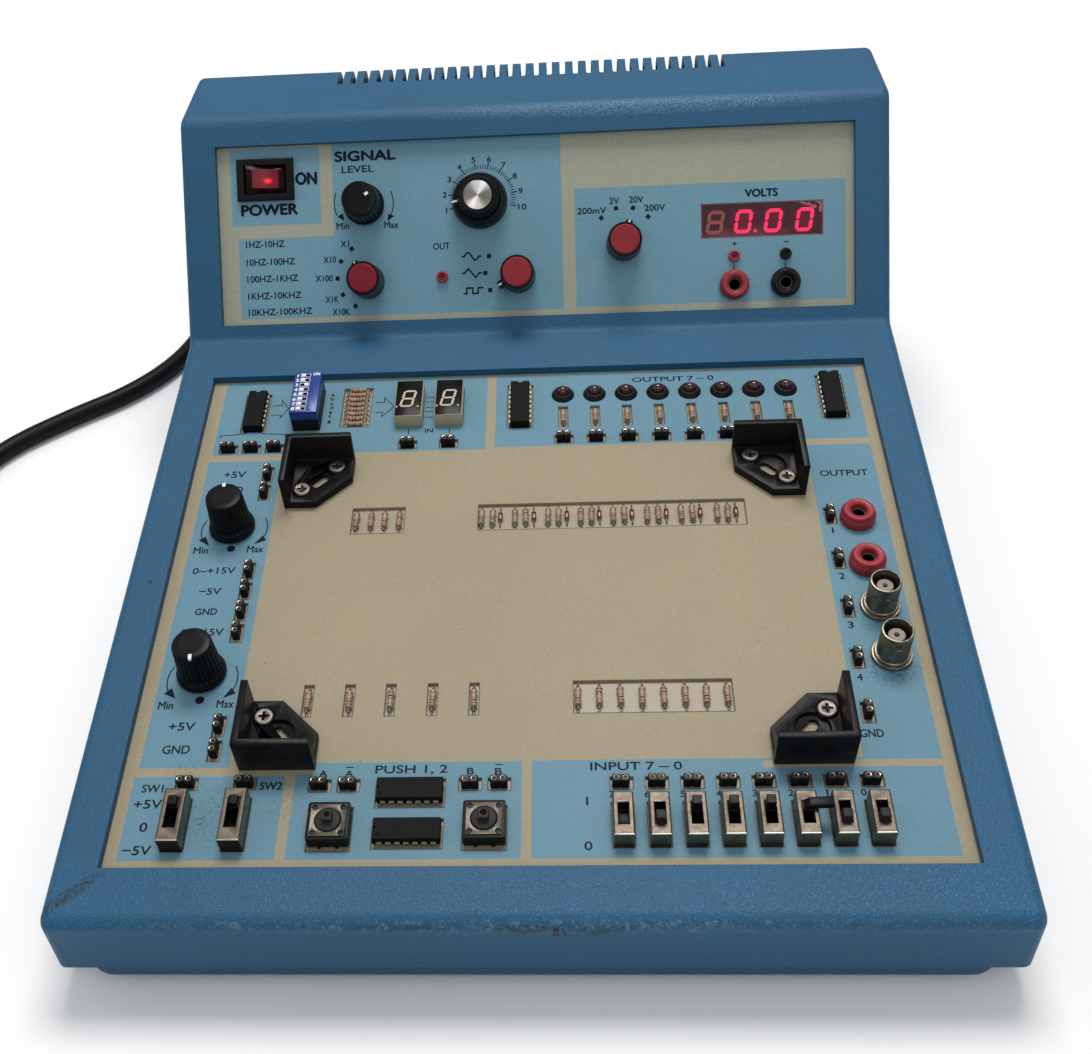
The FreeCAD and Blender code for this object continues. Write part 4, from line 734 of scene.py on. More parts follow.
# ------------------------------------------------------------------ resistors and diodes
M_tan = plastic("resistor_coat", srgb(150, 128, 106), 0.4, 0.08, 500.0, 0.00001, 1600.0)
M_b_red = plastic("band_red", srgb(122, 46, 38), 0.4, 0.1, 500.0)
M_b_brown = plastic("band_brown", srgb(92, 50, 34), 0.4, 0.1, 500.0)
M_b_black = plastic("band_black", srgb(34, 28, 26), 0.4, 0.1, 500.0)
M_b_orange = plastic("band_orange", srgb(146, 80, 48), 0.4, 0.1, 500.0)
M_b_gold = metal("band_gold", srgb(136, 108, 68), 0.45, 0.1, 500.0)
BANDS = {"1k": (M_b_brown, M_b_black, M_b_red), "330": (M_b_orange, M_b_orange, M_b_brown), "10k": (M_b_brown, M_b_black, M_b_orange),
         "220": (M_b_red, M_b_red, M_b_brown), "4k7": (M_b_orange, M_b_red, M_b_red)}


def resistor(b, u, v, deg, total, code, flip):
    c = BANDS[code]
    z = PCB + 1.25
    T = lying(u + rnd.uniform(-0.12, 0.12), v + rnd.uniform(-0.15, 0.15), z, deg + rnd.uniform(-1.5, 1.5) + (180 if flip else 0))
    prof = [(0.0, -3.0), (0.5, -2.98), (0.92, -2.84), (1.08, -2.55), (1.1, -2.35), (1.09, -1.9), (1.02, -1.72), (0.9, -1.5),
            (0.88, -1.12), (0.88, -0.72), (0.88, -0.2), (0.88, 0.22), (0.9, 1.5), (1.02, 1.72), (1.09, 1.9), (1.1, 2.35),
            (1.08, 2.55), (0.92, 2.84), (0.5, 2.98), (0.0, 3.0)]
    mats = [M_tan] * 4 + [c[0]] + [M_tan] * 3 + [c[1]] + [M_tan] + [c[2]] + [M_tan] * 3 + [M_b_gold] + [M_tan] * 4
    b.lathe(prof, 0.0, 0.0, M_tan, 20, T, mats)
    h = total / 2.0
    for s in (-1, 1):
        # local z is the long axis; local x points down after the turn
        pts = [(0, 0, s * 2.9), (0, 0, s * (h - 0.75)), (0.1, 0, s * (h - 0.45)), (0.4, 0, s * (h - 0.28)), (1.25, 0, s * (h - 0.26))]
        b.tube(pts, 0.27, M_lead, 8, T)
        b.lathe([(0.0, 0.0), (0.62, 0.0), (0.55, 0.16), (0.3, 0.42), (0.0, 0.5)], 0.0, 0.0, M_pin, 12,
                T @ Matrix.Translation((1.25, 0, s * (h - 0.26))) @ Matrix.Rotation(math.radians(-90), 4, "Y"))


b = Build("resistors_fine", FD)
for i, (u, v) in enumerate(ROW_A):
    resistor(b, u, v, 90.0, 9.4, "1k", i % 2)
for i, (u, v) in enumerate(ROW_B):
    resistor(b, u, v, 90.0, 9.4, "10k" if i % 2 else "1k", (i // 2) % 2)
for i, (u, v) in enumerate(ROW_C):
    resistor(b, u, v, 90.0, 9.4, "10k", i in (1, 4))
for i, (u, v) in enumerate(ROW_D):
    resistor(b, u, v, 90.0, 9.4, "4k7" if i == 0 else "1k", i == 2)
for i, (u, v) in enumerate(ROW_E):
    resistor(b, u, v, 90.0, 9.4, "330", i in (3, 6))
for i, (u, v) in enumerate(RES_H):
    resistor(b, u, v, 0.0, 8.8, "220", i in (2, 5))
b.done("root", ("resistors",))

M_glass = plastic("diode_glass", srgb(112, 54, 40), 0.18, 0.12, 500.0, coat=0.6)
b = Build("diodes_fine", FD)
for u, v in DIODES:
    T = lying(u, v + rnd.uniform(-0.1, 0.1), PCB + 0.95, 90.0 + rnd.uniform(-2, 2))
    b.lathe([(0.0, -1.7), (0.5, -1.68), (0.72, -1.5), (0.8, -1.25), (0.8, 0.7), (0.8, 1.2), (0.72, 1.5), (0.5, 1.68), (0.0, 1.7)],
            0.0, 0.0, M_glass, 18, T, [M_glass] * 4 + [M_b_black] + [M_glass] * 3)
    for s in (-1, 1):
        b.tube([(0, 0, s * 1.6), (0, 0, s * 3.55), (0.1, 0, s * 3.85), (0.4, 0, s * 4.0), (0.95, 0, s * 4.02)], 0.24, M_lead, 8, T)
b.done("root", ("diodes",))

# ------------------------------------------------------------------ slide switches and their levers
def pick_switch(c, n, lo, hi):
    if lo.z < -0.95:
        return 3 if c.z > 1.5 else 2
    if n.z > 0.6:
        return 0
    if n.y < -0.6 and hi.y - lo.y > 15.0:
        return 5
    return 1


# the front top bevels of the frames (material 4) get the near-white metal: painted highlight
soften("slide_switches_fine", "slide_switch_bodies", "root", 0.09, [M_frame, M_frameside, M_black, M_dark, M_frame_edge_highlight, M_brown], pick_switch,
       post=lambda c, n, k: 4 if (k in (0, 1, 5) and 0.3 < n.z < 0.93 and n.y < -0.3 and c.z > 3.0) else None)
for nm in ("selector_lever_a", "selector_lever_b"):
    soften(nm + "_fine", nm, nm, 0.16, [M_lever])
for i in range(8):
    nm = "data_lever_%d" % i
    soften(nm + "_fine", nm, nm, 0.16, [M_lever_grey if i in (1, 6, 7) else M_lever])

# ------------------------------------------------------------------ push switches
soften("push_switches_fine", "push_switch_bodies", "root", 0.14, [M_black, M_cover, M_pin],
       lambda c, n, lo, hi: 1 if lo.z > 3.8 else 0)
for nm in ("push_button_a", "push_button_b"):
    soften(nm + "_fine", nm, nm, 0.22, [M_grey, M_dark], lambda c, n, lo, hi: 1 if (5.8 < c.z < 6.2 and abs(n.z) > 0.5) else 0)

# ------------------------------------------------------------------ eight-way switch
soften("code_socket_fine", "code_switch_socket", "root", 0.18, [M_black])
soften("code_body_fine", "code_switch_body", "root", 0.16, [M_dipblue, M_dark],
       lambda c, n, lo, hi: 1 if (c.z < 9.1 and abs(n.z) > 0.9 and c.z > 5.6) else 0)
for i in range(8):
    nm = "code_slider_%d" % (i + 1)
    soften(nm + "_fine", nm, nm, 0.12, [M_white])

# ------------------------------------------------------------------ displays
M_face = plastic("display_face", (0.010, 0.010, 0.011), 0.25, 0.3, 150.0, 0.00001, 1200.0)
M_seg = plastic("segment_white", srgb(178, 168, 142), 0.4, 0.05, 300.0)
soften("displays_fine", "seven_segment_displays", "root", 0.2, [M_cream, M_face], lambda c, n, lo, hi: 1 if lo.z > 4.0 else 0)
SEGS = {"a": (0.5, 1.0, 0), "g": (0.5, 0.5, 0), "d": (0.5, 0.0, 0), "f": (0.0, 0.75, 1), "b": (1.0, 0.75, 1), "e": (0.0, 0.25, 1), "c": (1.0, 0.25, 1)}


def digit(b, cu, cv, w, h, t, mats, z0, z1, slant=10.0, T0=None, gap=0.07):
    """Slanted seven-segment figure; mats maps a segment letter to its material."""
    sl = math.tan(math.radians(slant))
    for key, (fx, fy, vert) in SEGS.items():
        mt = mats(key)
        if mt is None:
            continue
        x, y = (fx - 0.5) * (w - t), (fy - 0.5) * (h - t)
        if vert:
            L = (h - t) / 4.0 - gap * h / 8
            pts = [(x, y - L), (x + t / 2, y - L + t / 2), (x + t / 2, y + L - t / 2), (x, y + L), (x - t / 2, y + L - t / 2), (x - t / 2, y - L + t / 2)]
        else:
            L = (w - t) / 2.0 - gap * w / 5
            pts = [(x - L, y), (x - L + t / 2, y - t / 2), (x + L - t / 2, y - t / 2), (x + L, y), (x + L - t / 2, y + t / 2), (x - L + t / 2, y + t / 2)]
        b.prism([(cu + p + q * sl, cv + q) for p, q in pts], z0, z1, mt, T=T0)


b = Build("display_segments", FD)
for u, v in SEG7:
    digit(b, u - 0.2, v - 0.3, 4.9, 8.7, 0.82, lambda k: M_seg, 5.18, 5.23)
    b.disc(u - 4.2, v - 4.4, 0.4, 5.18, 5.23, M_seg, 16)
    b.disc(u + 3.5, v - 4.4, 0.4, 5.18, 5.23, M_seg, 16)
b.done("root")

# ------------------------------------------------------------------ lamps in their holders
t = NT("lamp_lens")
n1 = t.noise(500.0, 3.0)
c = t.mix(t.ramp(n1, [(0.3, 0.0), (0.7, 1.0)]), (0.028, 0.002, 0.004), (0.052, 0.005, 0.007))
M_lamp = t.out(color=c, rough=t.math("ADD", t.math("MULTIPLY", n1, 0.1), 0.12), Coat_Weight=0.25, Subsurface_Weight=0.0)
b = Build("lamps_fine", FD)
for u in LED_U:
    b.lathe([(2.25, -0.8), (2.7, -0.9), (2.7, 0.0), (4.15, 0.0), (4.13, 0.2), (3.98, 0.4), (3.28, 1.5), (3.08, 1.68), (2.8, 1.72),
             (2.42, 1.66), (2.27, 1.5), (2.25, -0.8)], u, LED_V, M_black, 40)
    b.lathe([(0.0, -0.9), (2.2, -0.9), (2.2, 1.6)] + [(2.2 * math.cos(math.radians(a)), 1.6 + 2.2 * math.sin(math.radians(a))) for a in range(10, 90, 10)]
            + [(0.0, 3.8)], u, LED_V, M_lamp, 32)
b.done("root", ("indicator_leds",))

# ------------------------------------------------------------------ brackets and their screws
soften("brackets_fine", "corner_brackets", "root", 0.3, [M_bracket])
# up-facing faces between 2.4 and 3.0 mm up, in the screw recesses, get near-black: painted shade
soften("bracket_screws_fine", "bracket_screws", "root", 0.12, [M_screw, M_dark], lambda c, n, lo, hi: 1 if (c.z < 3.0 and n.z > 0.8 and c.z > 2.4) else 0)


# ------------------------------------------------------------------ supply and level knobs
def knob(name, node, body, M, cx, cy, zb, r_sk, r0, r1, top, mark, flutes=26, depth=0.42, mark_r=None):
    b = Build(name, M)
    fl = (flutes, depth, zb + 3.05, top - 0.95, 0.35)
    prof = [(3.05, zb), (r_sk - 0.5, zb), (r_sk - 0.08, zb + 0.15), (r_sk, zb + 0.7), (r_sk - 0.12, zb + 1.3), (r0 + 0.55, zb + 2.3), (r0 + 0.22, zb + 2.75),
            (r0 + 0.02, zb + 3.1)]
    N = 10
    for i in range(1, N + 1):
        k = i / N
        z = zb + 3.1 + (top - 1.0 - zb - 3.1) * k
        prof.append((r0 + (r1 - r0) * k, z))
    prof += [(r1 - 0.15, top - 0.55), (r1 - 0.42, top - 0.15), (r1 - 0.85, top), (r1 * 0.55, top - 0.02), (0.0, top - 0.05)]
    b.lathe(prof, cx, cy, M_knob, flutes * 10, flute=fl)
    a = math.radians(mark)
    r = mark_r or (r1 - 1.15)
    T = place(cx + r * math.cos(a), cy + r * math.sin(a), 0.0, mark)
    b.cbox(0.0, 0.0, 1.5, 1.1, top - 0.1, top + 0.03, M_white, 0.05, 1, T)
    # the line runs over the shoulder of the knob
    b.box(0.55, 1.25, -0.5, 0.5, top - 1.3, top - 0.12, M_white, 0.08, 1, T @ Matrix.Translation((-0.18, 0, 0)))
    b.disc(cx, cy, 3.0, zb - 2.0, top - 3.2, M_zinc, 32)
    return b.done(body, (node,))


knob("positive_knob_fine", "positive_supply_knob", "positive_supply_knob", FD, KNOBS_D[0][0], KNOBS_D[0][1], 0.6, 7.9, 6.9, 6.2, 16.0, 96.0)
knob("negative_knob_fine", "negative_supply_knob", "negative_supply_knob", FD, KNOBS_D[1][0], KNOBS_D[1][1], 0.6, 7.9, 6.9, 6.2, 16.0, -84.0)
knob("level_knob_fine", "level_knob", "level_knob", FC, -63.7, 50.1, ZC + 0.6, 7.8, 7.2, 6.7, ZC + 14.5, 32.0, mark_r=3.4)

# ------------------------------------------------------------------ frequency dial
b = Build("frequency_knob_fine", FC)
cx, cy = -19.3, 49.8
z0 = ZC + 0.6
prof = [(3.05, z0), (10.1, z0), (10.5, z0 + 0.2), (10.55, z0 + 0.9)]
for i in range(1, 9):
    k = i / 8
    prof.append((10.55 - 0.72 * k, z0 + 0.9 + (ZC + 5.2 - z0 - 0.9) * k))
prof += [(9.6, ZC + 5.75), (8.9, ZC + 6.0), (8.32, ZC + 6.05), (8.2, ZC + 6.3)]
for i in range(1, 9):
    k = i / 8
    prof.append((8.2 - 0.95 * k, ZC + 6.3 + (ZC + 13.2 - ZC - 6.3) * k))
prof += [(7.1, ZC + 13.65), (6.75, ZC + 13.95), (5.75, ZC + 14.0), (5.5, ZC + 13.9), (5.45, ZC + 13.3)]
b.lathe(prof, cx, cy, M_dialskirt, 300, flute=(30, 0.32, ZC + 6.35, ZC + 13.25, 0.3))
t = NT("spun_disc_painted_reflection")
d = t.sep(t.mapped(FC))
du, dv = t.math("SUBTRACT", d[0], cx), t.math("SUBTRACT", d[1], cy)
rr = t.math("SQRT", t.math("ADD", t.math("MULTIPLY", du, du), t.math("MULTIPLY", dv, dv)))
comb = t.n.new("ShaderNodeCombineXYZ")
t.l.new(t.math("MULTIPLY", rr, 7.0), comb.inputs[0])
gr = t.noise(3.0, 3.0, 0.6, co=comb.outputs[0])
ang_ = t.math("ARCTAN2", dv, du)
c = t.mix(t.ramp(gr, [(0.3, 0.0), (0.7, 1.0)]), srgb(118, 112, 106), srgb(146, 140, 134))
# painted reflection: light and dark wedges by angle round the spun cap, standing in for its bow-tie highlight
for a0, pw, k_, colr in ((238.0, 7.0, 0.9, srgb(236, 233, 230)), (100.0, 16.0, 0.55, srgb(214, 210, 206)), (20.0, 10.0, 0.5, srgb(70, 64, 60)), (160.0, 8.0, 0.6, srgb(84, 78, 74))):
    f_ = t.math("POWER", t.math("ABSOLUTE", t.math("COSINE", t.math("SUBTRACT", ang_, math.radians(a0)))), pw)
    c = t.mix(t.math("MULTIPLY", f_, k_), c, colr)
tan_n = t.n.new("ShaderNodeTangent")
tan_n.direction_type = "RADIAL"
tan_n.axis = "Z"
M_spin_reflection = t.out(color=c, rough=t.math("ADD", t.math("MULTIPLY", gr, 0.18), 0.22), metal=1.0, normal=t.bump(gr, 0.00002, 0.6), Anisotropic=0.75)
b.lathe([(5.4, ZC + 13.2), (5.4, ZC + 14.3), (5.2, ZC + 14.48), (4.9, ZC + 14.5), (2.6, ZC + 14.36), (0.9, ZC + 14.3), (0.0, ZC + 14.32)], cx, cy, M_spin_reflection, 96)
a = math.radians(184.1)
T = place(cx, cy, 0.0, 184.1)
b.box(9.6, 10.5, -0.32, 0.32, ZC + 1.0, ZC + 5.4, M_white, 0.05, 1, T)
b.box(8.3, 9.8, -0.32, 0.32, ZC + 5.6, ZC + 6.07, M_white, 0.03, 1, T)
b.disc(cx, cy, 3.0, ZC - 2.0, ZC + 11.4, M_zinc, 32)
b.done("frequency_knob", ("frequency_knob",))

# ------------------------------------------------------------------ selector knobs: black body, red cap let in, pointer at the foot
for nm, (u, s), ang, cap in (("range_knob", (-63.3, 21.0), 122.0, 0), ("waveform_knob", (-5.4, 21.3), 207.0, 1), ("meter_range_knob", (34.9, 31.8), 75.0, 2)):
    b = Build(nm + "_fine", FC)
    fl = (24, 0.22, ZC + 1.7, ZC + 12.6, 0.35)
    prof = [(3.05, ZC + 0.6), (6.45, ZC + 0.6), (6.6, ZC + 0.8), (6.58, ZC + 1.6)]
    for i in range(1, 11):
        k = i / 10
        prof.append((6.57 - 0.25 * k, ZC + 1.75 + 10.8 * k))
    prof += [(6.32, ZC + 12.75), (6.3, ZC + 13.5), (6.15, ZC + 13.82), (5.95, ZC + 13.9), (5.66, ZC + 13.86), (5.6, ZC + 13.6), (5.6, ZC + 12.7)]
    b.lathe(prof, u, s, M_knob, 240, flute=fl)
    b.lathe([(5.48, ZC + 12.65), (5.5, ZC + 13.75), (5.4, ZC + 14.02), (5.1, ZC + 14.17), (4.7, ZC + 14.2), (2.5, ZC + 14.16), (0.0, ZC + 14.14)], u, s, (M_redcap_d, M_redcap, M_redcap)[cap], 64)
    T = place(u, s, ZC + 0.6, ang)
    b.prism([(5.6, -1.4), (8.0, -1.4), (8.6, -0.95), (8.6, -0.38), (7.0, -0.38), (7.0, 0.38), (8.6, 0.38), (8.6, 0.95), (8.0, 1.4), (5.6, 1.4)], 0.0, 4.6, M_knob, 0.15, 1, T)
    b.box(6.6, 8.35, -0.38, 0.38, 0.1, 4.5, M_white, 0.08, 1, T)
    b.disc(u, s, 3.0, ZC - 2.0, ZC + 9.8, M_zinc, 32)
    b.done(nm, (nm,))


# ------------------------------------------------------------------ jacks
M_hole2 = plastic("jack_rim", (0.10, 0.085, 0.075), 0.4, 0.2, 400.0)


def jack(b, u, v, z, r0, r1, h, mat, M):
    rm = (r0 + 2.6) / 2.0 + 0.2
    prof = [(3.0, z - 10.5), (3.95, z - 10.5), (3.95, z), (r0 - 0.3, z), (r0 - 0.05, z + 0.2), (r0, z + 0.7), (r0 - 0.04, z + h - 1.95)]
    for a in range(10, 178, 12):
        x, y = math.cos(math.radians(a)), math.sin(math.radians(a))
        if x > 0:
            prof.append((rm + (r1 - rm) * x, z + h - 1.75 + 1.75 * y))
        else:
            prof.append((rm + (rm - 2.6) * x, z + h - 0.8 + 0.8 * y))
    prof += [(2.56, z + h - 1.0), (2.3, z + h - 2.25), (3.0, z + h - 2.35), (3.0, z - 10.5)]
    b.lathe(prof, u, v, mat, 64)
    # bore walls and floor in near-black: painted shade inside the jack
    b.lathe([(2.0, z - 10.4), (2.98, z - 10.5), (2.98, z + h - 2.45), (2.12, z + h - 2.4), (2.0, z + h - 2.52), (2.0, z - 10.4), (0.0, z - 10.4)],
            u, v, M_dark, 40, mats=[M_dark, M_dark, M_hole2, M_hole2, M_dark, M_dark])


def tip(b, u, v, z, mat):
    b.lathe([(1.1, z - 5.5), (1.65, z - 5.5), (1.65, z), (2.1, z), (2.2, z + 0.25), (2.2, z + 1.1), (2.05, z + 1.45), (1.75, z + 1.6),
             (1.4, z + 1.58), (1.22, z + 1.4), (1.2, z - 5.5)], u, v, mat, 36)
    # bore wall and floor in near-black: painted shade inside the socket
    b.lathe([(0.4, z - 5.0), (1.0, z - 5.5), (1.0, z + 1.0), (0.9, z + 1.18), (0.52, z + 1.18), (0.4, z + 1.0), (0.4, z - 5.0), (0.0, z - 5.0)], u, v, M_dark, 24,
            mats=[M_dark, M_dark, mat, mat, M_hole, M_dark, M_dark])
    b.lathe([(1.0, z + 0.3), (1.21, z + 0.3)], u, v, M_dark, 24)


b = Build("deck_jacks_fine", FD)
jack(b, 106.8, 126.9, 0.0, 5.75, 5.3, 5.0, M_redjack, FD)
jack(b, 106.9, 107.4, 0.0, 5.75, 5.3, 5.0, M_redjack, FD)
dj = b.done("root", ("panel_jacks",))
b = Build("console_jacks_fine", FC)
jack(b, 76.1, 15.0, ZC, 5.5, 5.2, 4.6, M_redjack, FC)
jack(b, 95.2, 15.2, ZC, 5.5, 5.2, 4.6, M_blackjack, FC)
tip(b, -34.5, 21.8, ZC, M_redjack)
tip(b, 76.2, 25.7, ZC, M_redjack)
tip(b, 95.4, 25.9, ZC, M_blackjack)
b.done("root")

# ------------------------------------------------------------------ coaxial sockets
b = Build("coax_fine", FD)
for u, v in ((108.2, 90.0), (108.5, 71.0)):
    b.lathe([(2.62, -8.5), (4.7, -8.5), (4.7, 0.0), (5.9, 0.0), (6.18, 0.25), (6.2, 1.05), (6.0, 1.3), (5.55, 1.32), (5.5, 1.5), (5.45, 2.2), (5.2, 2.42),
             (4.85, 2.45), (4.8, 2.7), (4.8, 12.2), (4.68, 12.5), (4.45, 12.6), (4.2, 12.56), (4.1, 12.3), (4.1, 3.0), (2.62, 3.0)],
            u, v, M_bnc, 64, mats=[M_bnc] * 3 + [M_bncring] * 8 + [M_bnc] * 3 + [M_bncring] + [M_bnc] * 4)
    for s in (-1, 1):
        T = Matrix.Translation((u, v, 8.8)) @ Matrix.Rotation(math.radians(90 * s), 4, "X")
        b.lathe([(1.0, 4.4), (1.0, 5.55), (0.85, 5.75), (0.0, 5.75)], 0.0, 0.0, M_bnc, 20, T)
    b.lathe([(0.72, 2.0), (0.72, 10.0), (0.85, 10.2), (2.35, 10.2), (2.58, 10.0), (2.6, 3.0), (2.6, 2.0)], u, v, M_insul, 40)
    # pin bore lined with near-black and closed by a near-black disc: painted shade inside the pin
    b.lathe([(0.48, 4.0), (0.48, 9.5), (0.58, 9.6), (0.7, 9.5), (0.7, 2.0)], u, v, M_gold, 20, mats=[M_dark, M_gold, M_gold, M_gold])
    b.lathe([(0.0, 8.2), (0.48, 8.2)], u, v, M_dark, 20)
    pts = [(u + 7.2 * math.cos(math.radians(60 * k)), v + 7.2 * math.sin(math.radians(60 * k))) for k in range(6)]
    b.prism(pts, -3.6, -2.35, M_zinc, 0.2, 1)
b.done("root", ("coaxial_connectors",))

# ------------------------------------------------------------------ mains switch
t = NT("rocker_lens")
d = t.sep(t.mapped(FC))
n1 = t.noise(300.0, 3.0)
spot = t.blob(d, -100.3, 60.3, 2.4, 1.5, 0.0, 1.2)
glow = t.blob(d, -100.8, 60.5, 6.5, 4.6, 0.0, 1.2)
c = t.mix(t.ramp(n1, [(0.3, 0.0), (0.7, 1.0)]), srgb(92, 14, 30), srgb(108, 20, 36))
em = t.mix(t.ramp(spot, [(0.0, 0.0), (1.0, 1.0)]), srgb(150, 10, 26), srgb(255, 46, 56))
M_rocker = t.out(color=c, rough=t.math("ADD", t.math("MULTIPLY", n1, 0.1), 0.25), Specular_IOR_Level=0.2)
t.l.new(em, t.b.inputs["Emission Color"])
t.l.new(t.math("ADD", t.math("MULTIPLY", glow, 0.30), t.math("MULTIPLY", t.math("POWER", spot, 1.3), 1.1)), t.b.inputs["Emission Strength"])


def rocker_piece():
    """Lens with broad sloping edges, tilted to its rest position."""
    b = Build("power_rocker_fine", FC)
    T = Matrix.Translation((-101.5, 60.9, ZC + 0.5)) @ Matrix.Rotation(math.radians(9.0), 4, "Y")
    xs = [-7.35, -5.0, -2.5, 0.0, 2.5, 5.0, 7.35]
    zt = lambda x: 1.35 + 1.2 * (abs(x) / 7.35) ** 1.2
    rows = []
    for y, drop in ((-5.3, 2.0), (-5.22, 1.5), (-3.5, 0.12), (-3.3, 0.0), (3.5, 0.0), (3.7, 0.12), (5.22, 1.5), (5.3, 2.0)):
        row = []
        for x in xs:
            d_ = max(drop, 1.25 if abs(x) > 7 else 0.0)
            xx = x if abs(x) > 7 else (x * (1.0 if abs(y) < 5 else 1.06))
            row.append((xx, y, zt(x) - d_))
        rows.append(row)
    n = len(xs)
    vs = [p for r in rows for p in r]
    fs, ms = [], []
    for i in range(len(rows) - 1):
        for k in range(n - 1):
            fs.append([i * n + k, i * n + k + 1, (i + 1) * n + k + 1, (i + 1) * n + k])
            # the face keeps the lens red; the sloped sides and ends get a much darker red: painted shade
            ms.append(M_rocker if 2 < i < 4 and 0 < k < n - 2 else M_rockside_shade)
    base = len(vs)
    vs += [(-6.9, -5.3, -3.4), (6.9, -5.3, -3.4), (6.9, 5.3, -3.4), (-6.9, 5.3, -3.4)]
    top0, top1 = list(range(n)), [(len(rows) - 1) * n + k for k in range(n)]
    left, right_ = [i * n for i in range(len(rows))], [i * n + n - 1 for i in range(len(rows))]
    fs += [top0 + [base + 1, base], top1 + [base + 2, base + 3], left + [base + 3, base], right_ + [base + 2, base + 1], [base, base + 1, base + 2, base + 3]]
    ms += [M_rockside_shade] * 5
    b.put(vs, fs, M_rockside_shade, T, ms)
    b.done("power_rocker", ("power_rocker",), 24.0)


# much darker red for the rocker's sloped sides and ends: painted shade
M_rockside_shade = plastic("rocker_side_painted_shade", (0.022, 0.004, 0.007), 0.3, 0.2, 200.0, 0.00002, 900.0)
M_bezel = plastic("bezel_moulding", (0.012, 0.012, 0.013), 0.42, 0.3, 160.0, 0.00004, 900.0, dust=0.15)
soften("switch_housing_fine", "power_switch_housing", "root", 0.15, [M_bezel, M_lead], lambda c, n, lo, hi: 1 if hi.z < -17 else 0, inv=CI)
rocker_piece()

# ------------------------------------------------------------------ meter window and figures
t = NT("window_filter")
n1 = t.noise(60.0, 4.0)
d = t.sep(t.mapped(FC))
c = t.mix(t.ramp(n1, [(0.3, 0.0), (0.7, 1.0)]), srgb(44, 15, 24), srgb(58, 22, 32))
# painted reflection: a pale streak low in the window; painted glow: brighter red halos round the three lit figures
sm = t.math("MULTIPLY", t.blob(d, 82.0, 33.6, 21.0, 3.4, 0.0, 1.3), t.ramp(t.noise(90.0, 4.0, 0.7), [(0.35, 0.3), (0.7, 1.0)]))
c = t.mix(t.math("MULTIPLY", sm, 0.55), c, srgb(150, 84, 92))
# painted glow on the filter round each lit figure
for g0 in (79.9, 91.0, 102.6):
    c = t.mix(t.math("MULTIPLY", t.blob(d, g0, 38.6, 6.6, 7.4, 0.0, 1.2), 0.5), c, srgb(120, 14, 44))
M_window = t.out(color=c, rough=t.math("ADD", t.math("MULTIPLY", n1, 0.2), 0.16), Specular_IOR_Level=0.14)
t = NT("window_rim")
n1 = t.noise(900.0, 3.0, 0.7)
c = t.mix(t.ramp(n1, [(0.3, 0.0), (0.7, 1.0)]), srgb(124, 62, 72), srgb(168, 104, 112))
M_film = t.out(color=c, rough=t.math("ADD", t.math("MULTIPLY", n1, 0.2), 0.4), Specular_IOR_Level=0.15)
t = NT("figure_lit")
n1 = t.noise(500.0, 2.0)
c = t.mix(n1, (0.30, 0.01, 0.03), (0.36, 0.015, 0.04))
M_lit = t.out(color=c, rough=t.math("ADD", t.math("MULTIPLY", n1, 0.1), 0.4), Specular_IOR_Level=0.05)
t.l.new(t.mix(n1, (1.0, 0.025, 0.115), (1.0, 0.050, 0.150)), t.b.inputs["Emission Color"])
t.l.new(t.math("ADD", t.math("MULTIPLY", n1, 0.25), 0.78), t.b.inputs["Emission Strength"])
t = NT("figure_unlit")
n1 = t.noise(400.0, 2.0)
c = t.mix(n1, srgb(132, 70, 66), srgb(150, 84, 78))
M_unlit = t.out(color=c, rough=t.math("ADD", t.math("MULTIPLY", n1, 0.1), 0.4), Specular_IOR_Level=0.1)
paint("meter_window", M_window)
paint("meter_display", M_dark)
b = Build("meter_figures", FC)
zf = ZC - 0.29
for x0_, x1_, y0_, y1_ in ((64.1, 109.4, 32.7, 33.0), (64.1, 109.4, 45.1, 45.4), (64.1, 64.4, 32.7, 45.4), (109.1, 109.4, 32.7, 45.4)):
    b.box(x0_, x1_, y0_, y1_, zf - 0.05, zf + 0.03, M_film)
for k, (c0, lit) in enumerate(((69.4, ""), (79.9, "abcdef"), (91.0, "abcdef"), (102.6, "abcdef"))):
    digit(b, c0, 38.5, 6.4, 8.8, 1.35, (lambda key, lit=lit: M_lit if key in lit else M_unlit) if not lit else (lambda key, lit=lit: M_lit if key in lit else None), zf - 0.03, zf + 0.02, 9.0, None, -0.02)
b.disc(84.3, 34.9, 0.62, zf - 0.03, zf + 0.02, M_lit, 16)
for pts in ([(99.9, 45.3), (102.0, 45.35), (103.2, 44.5), (104.6, 44.9), (105.4, 43.6), (106.6, 44.0), (107.4, 42.9), (106.0, 42.2), (104.3, 43.6), (102.6, 43.9), (101.0, 44.6)],
            [(105.9, 45.3), (109.2, 45.3), (109.0, 41.2), (108.2, 40.9), (107.9, 42.6), (108.3, 43.8), (107.2, 44.5)]):
    b.prism(pts, zf - 0.03, zf + 0.015, M_film)
b.done("root")

# ------------------------------------------------------------------ lead fittings
relief_piece = soften("strain_relief_fine", "strain_relief", "root", 0.2, [M_rubber], inv=MM.inverted())
plug_piece = soften("mains_plug_fine", "mains_plug", "root", 0.25, [M_rubber, M_pin], lambda c, n, lo, hi: 1 if (hi.x - lo.x) < 7.0 and hi.z - lo.z < 8 else 0, inv=MM.inverted())
lead.data.materials.append(M_rubber)

# ------------------------------------------------------------------ shells, panels, boards and what is inside
paint("upper_case", M_case)
paint("lower_case", M_case_low)
paint("rubber_feet", M_foot)
paint("case_screws", M_zinc)
paint("deck_panel", M_deck)
paint("console_panel", M_console)
paint("main_board", M_board)
paint("console_board", M_board)
paint("potentiometers", M_can)
paint("rotary_switches", M_can)
paint("power_supply", M_core, M_can, M_board, pick=lambda c, n: 0 if c.x < -0.03 else (2 if c.z < 0.022 else 1))


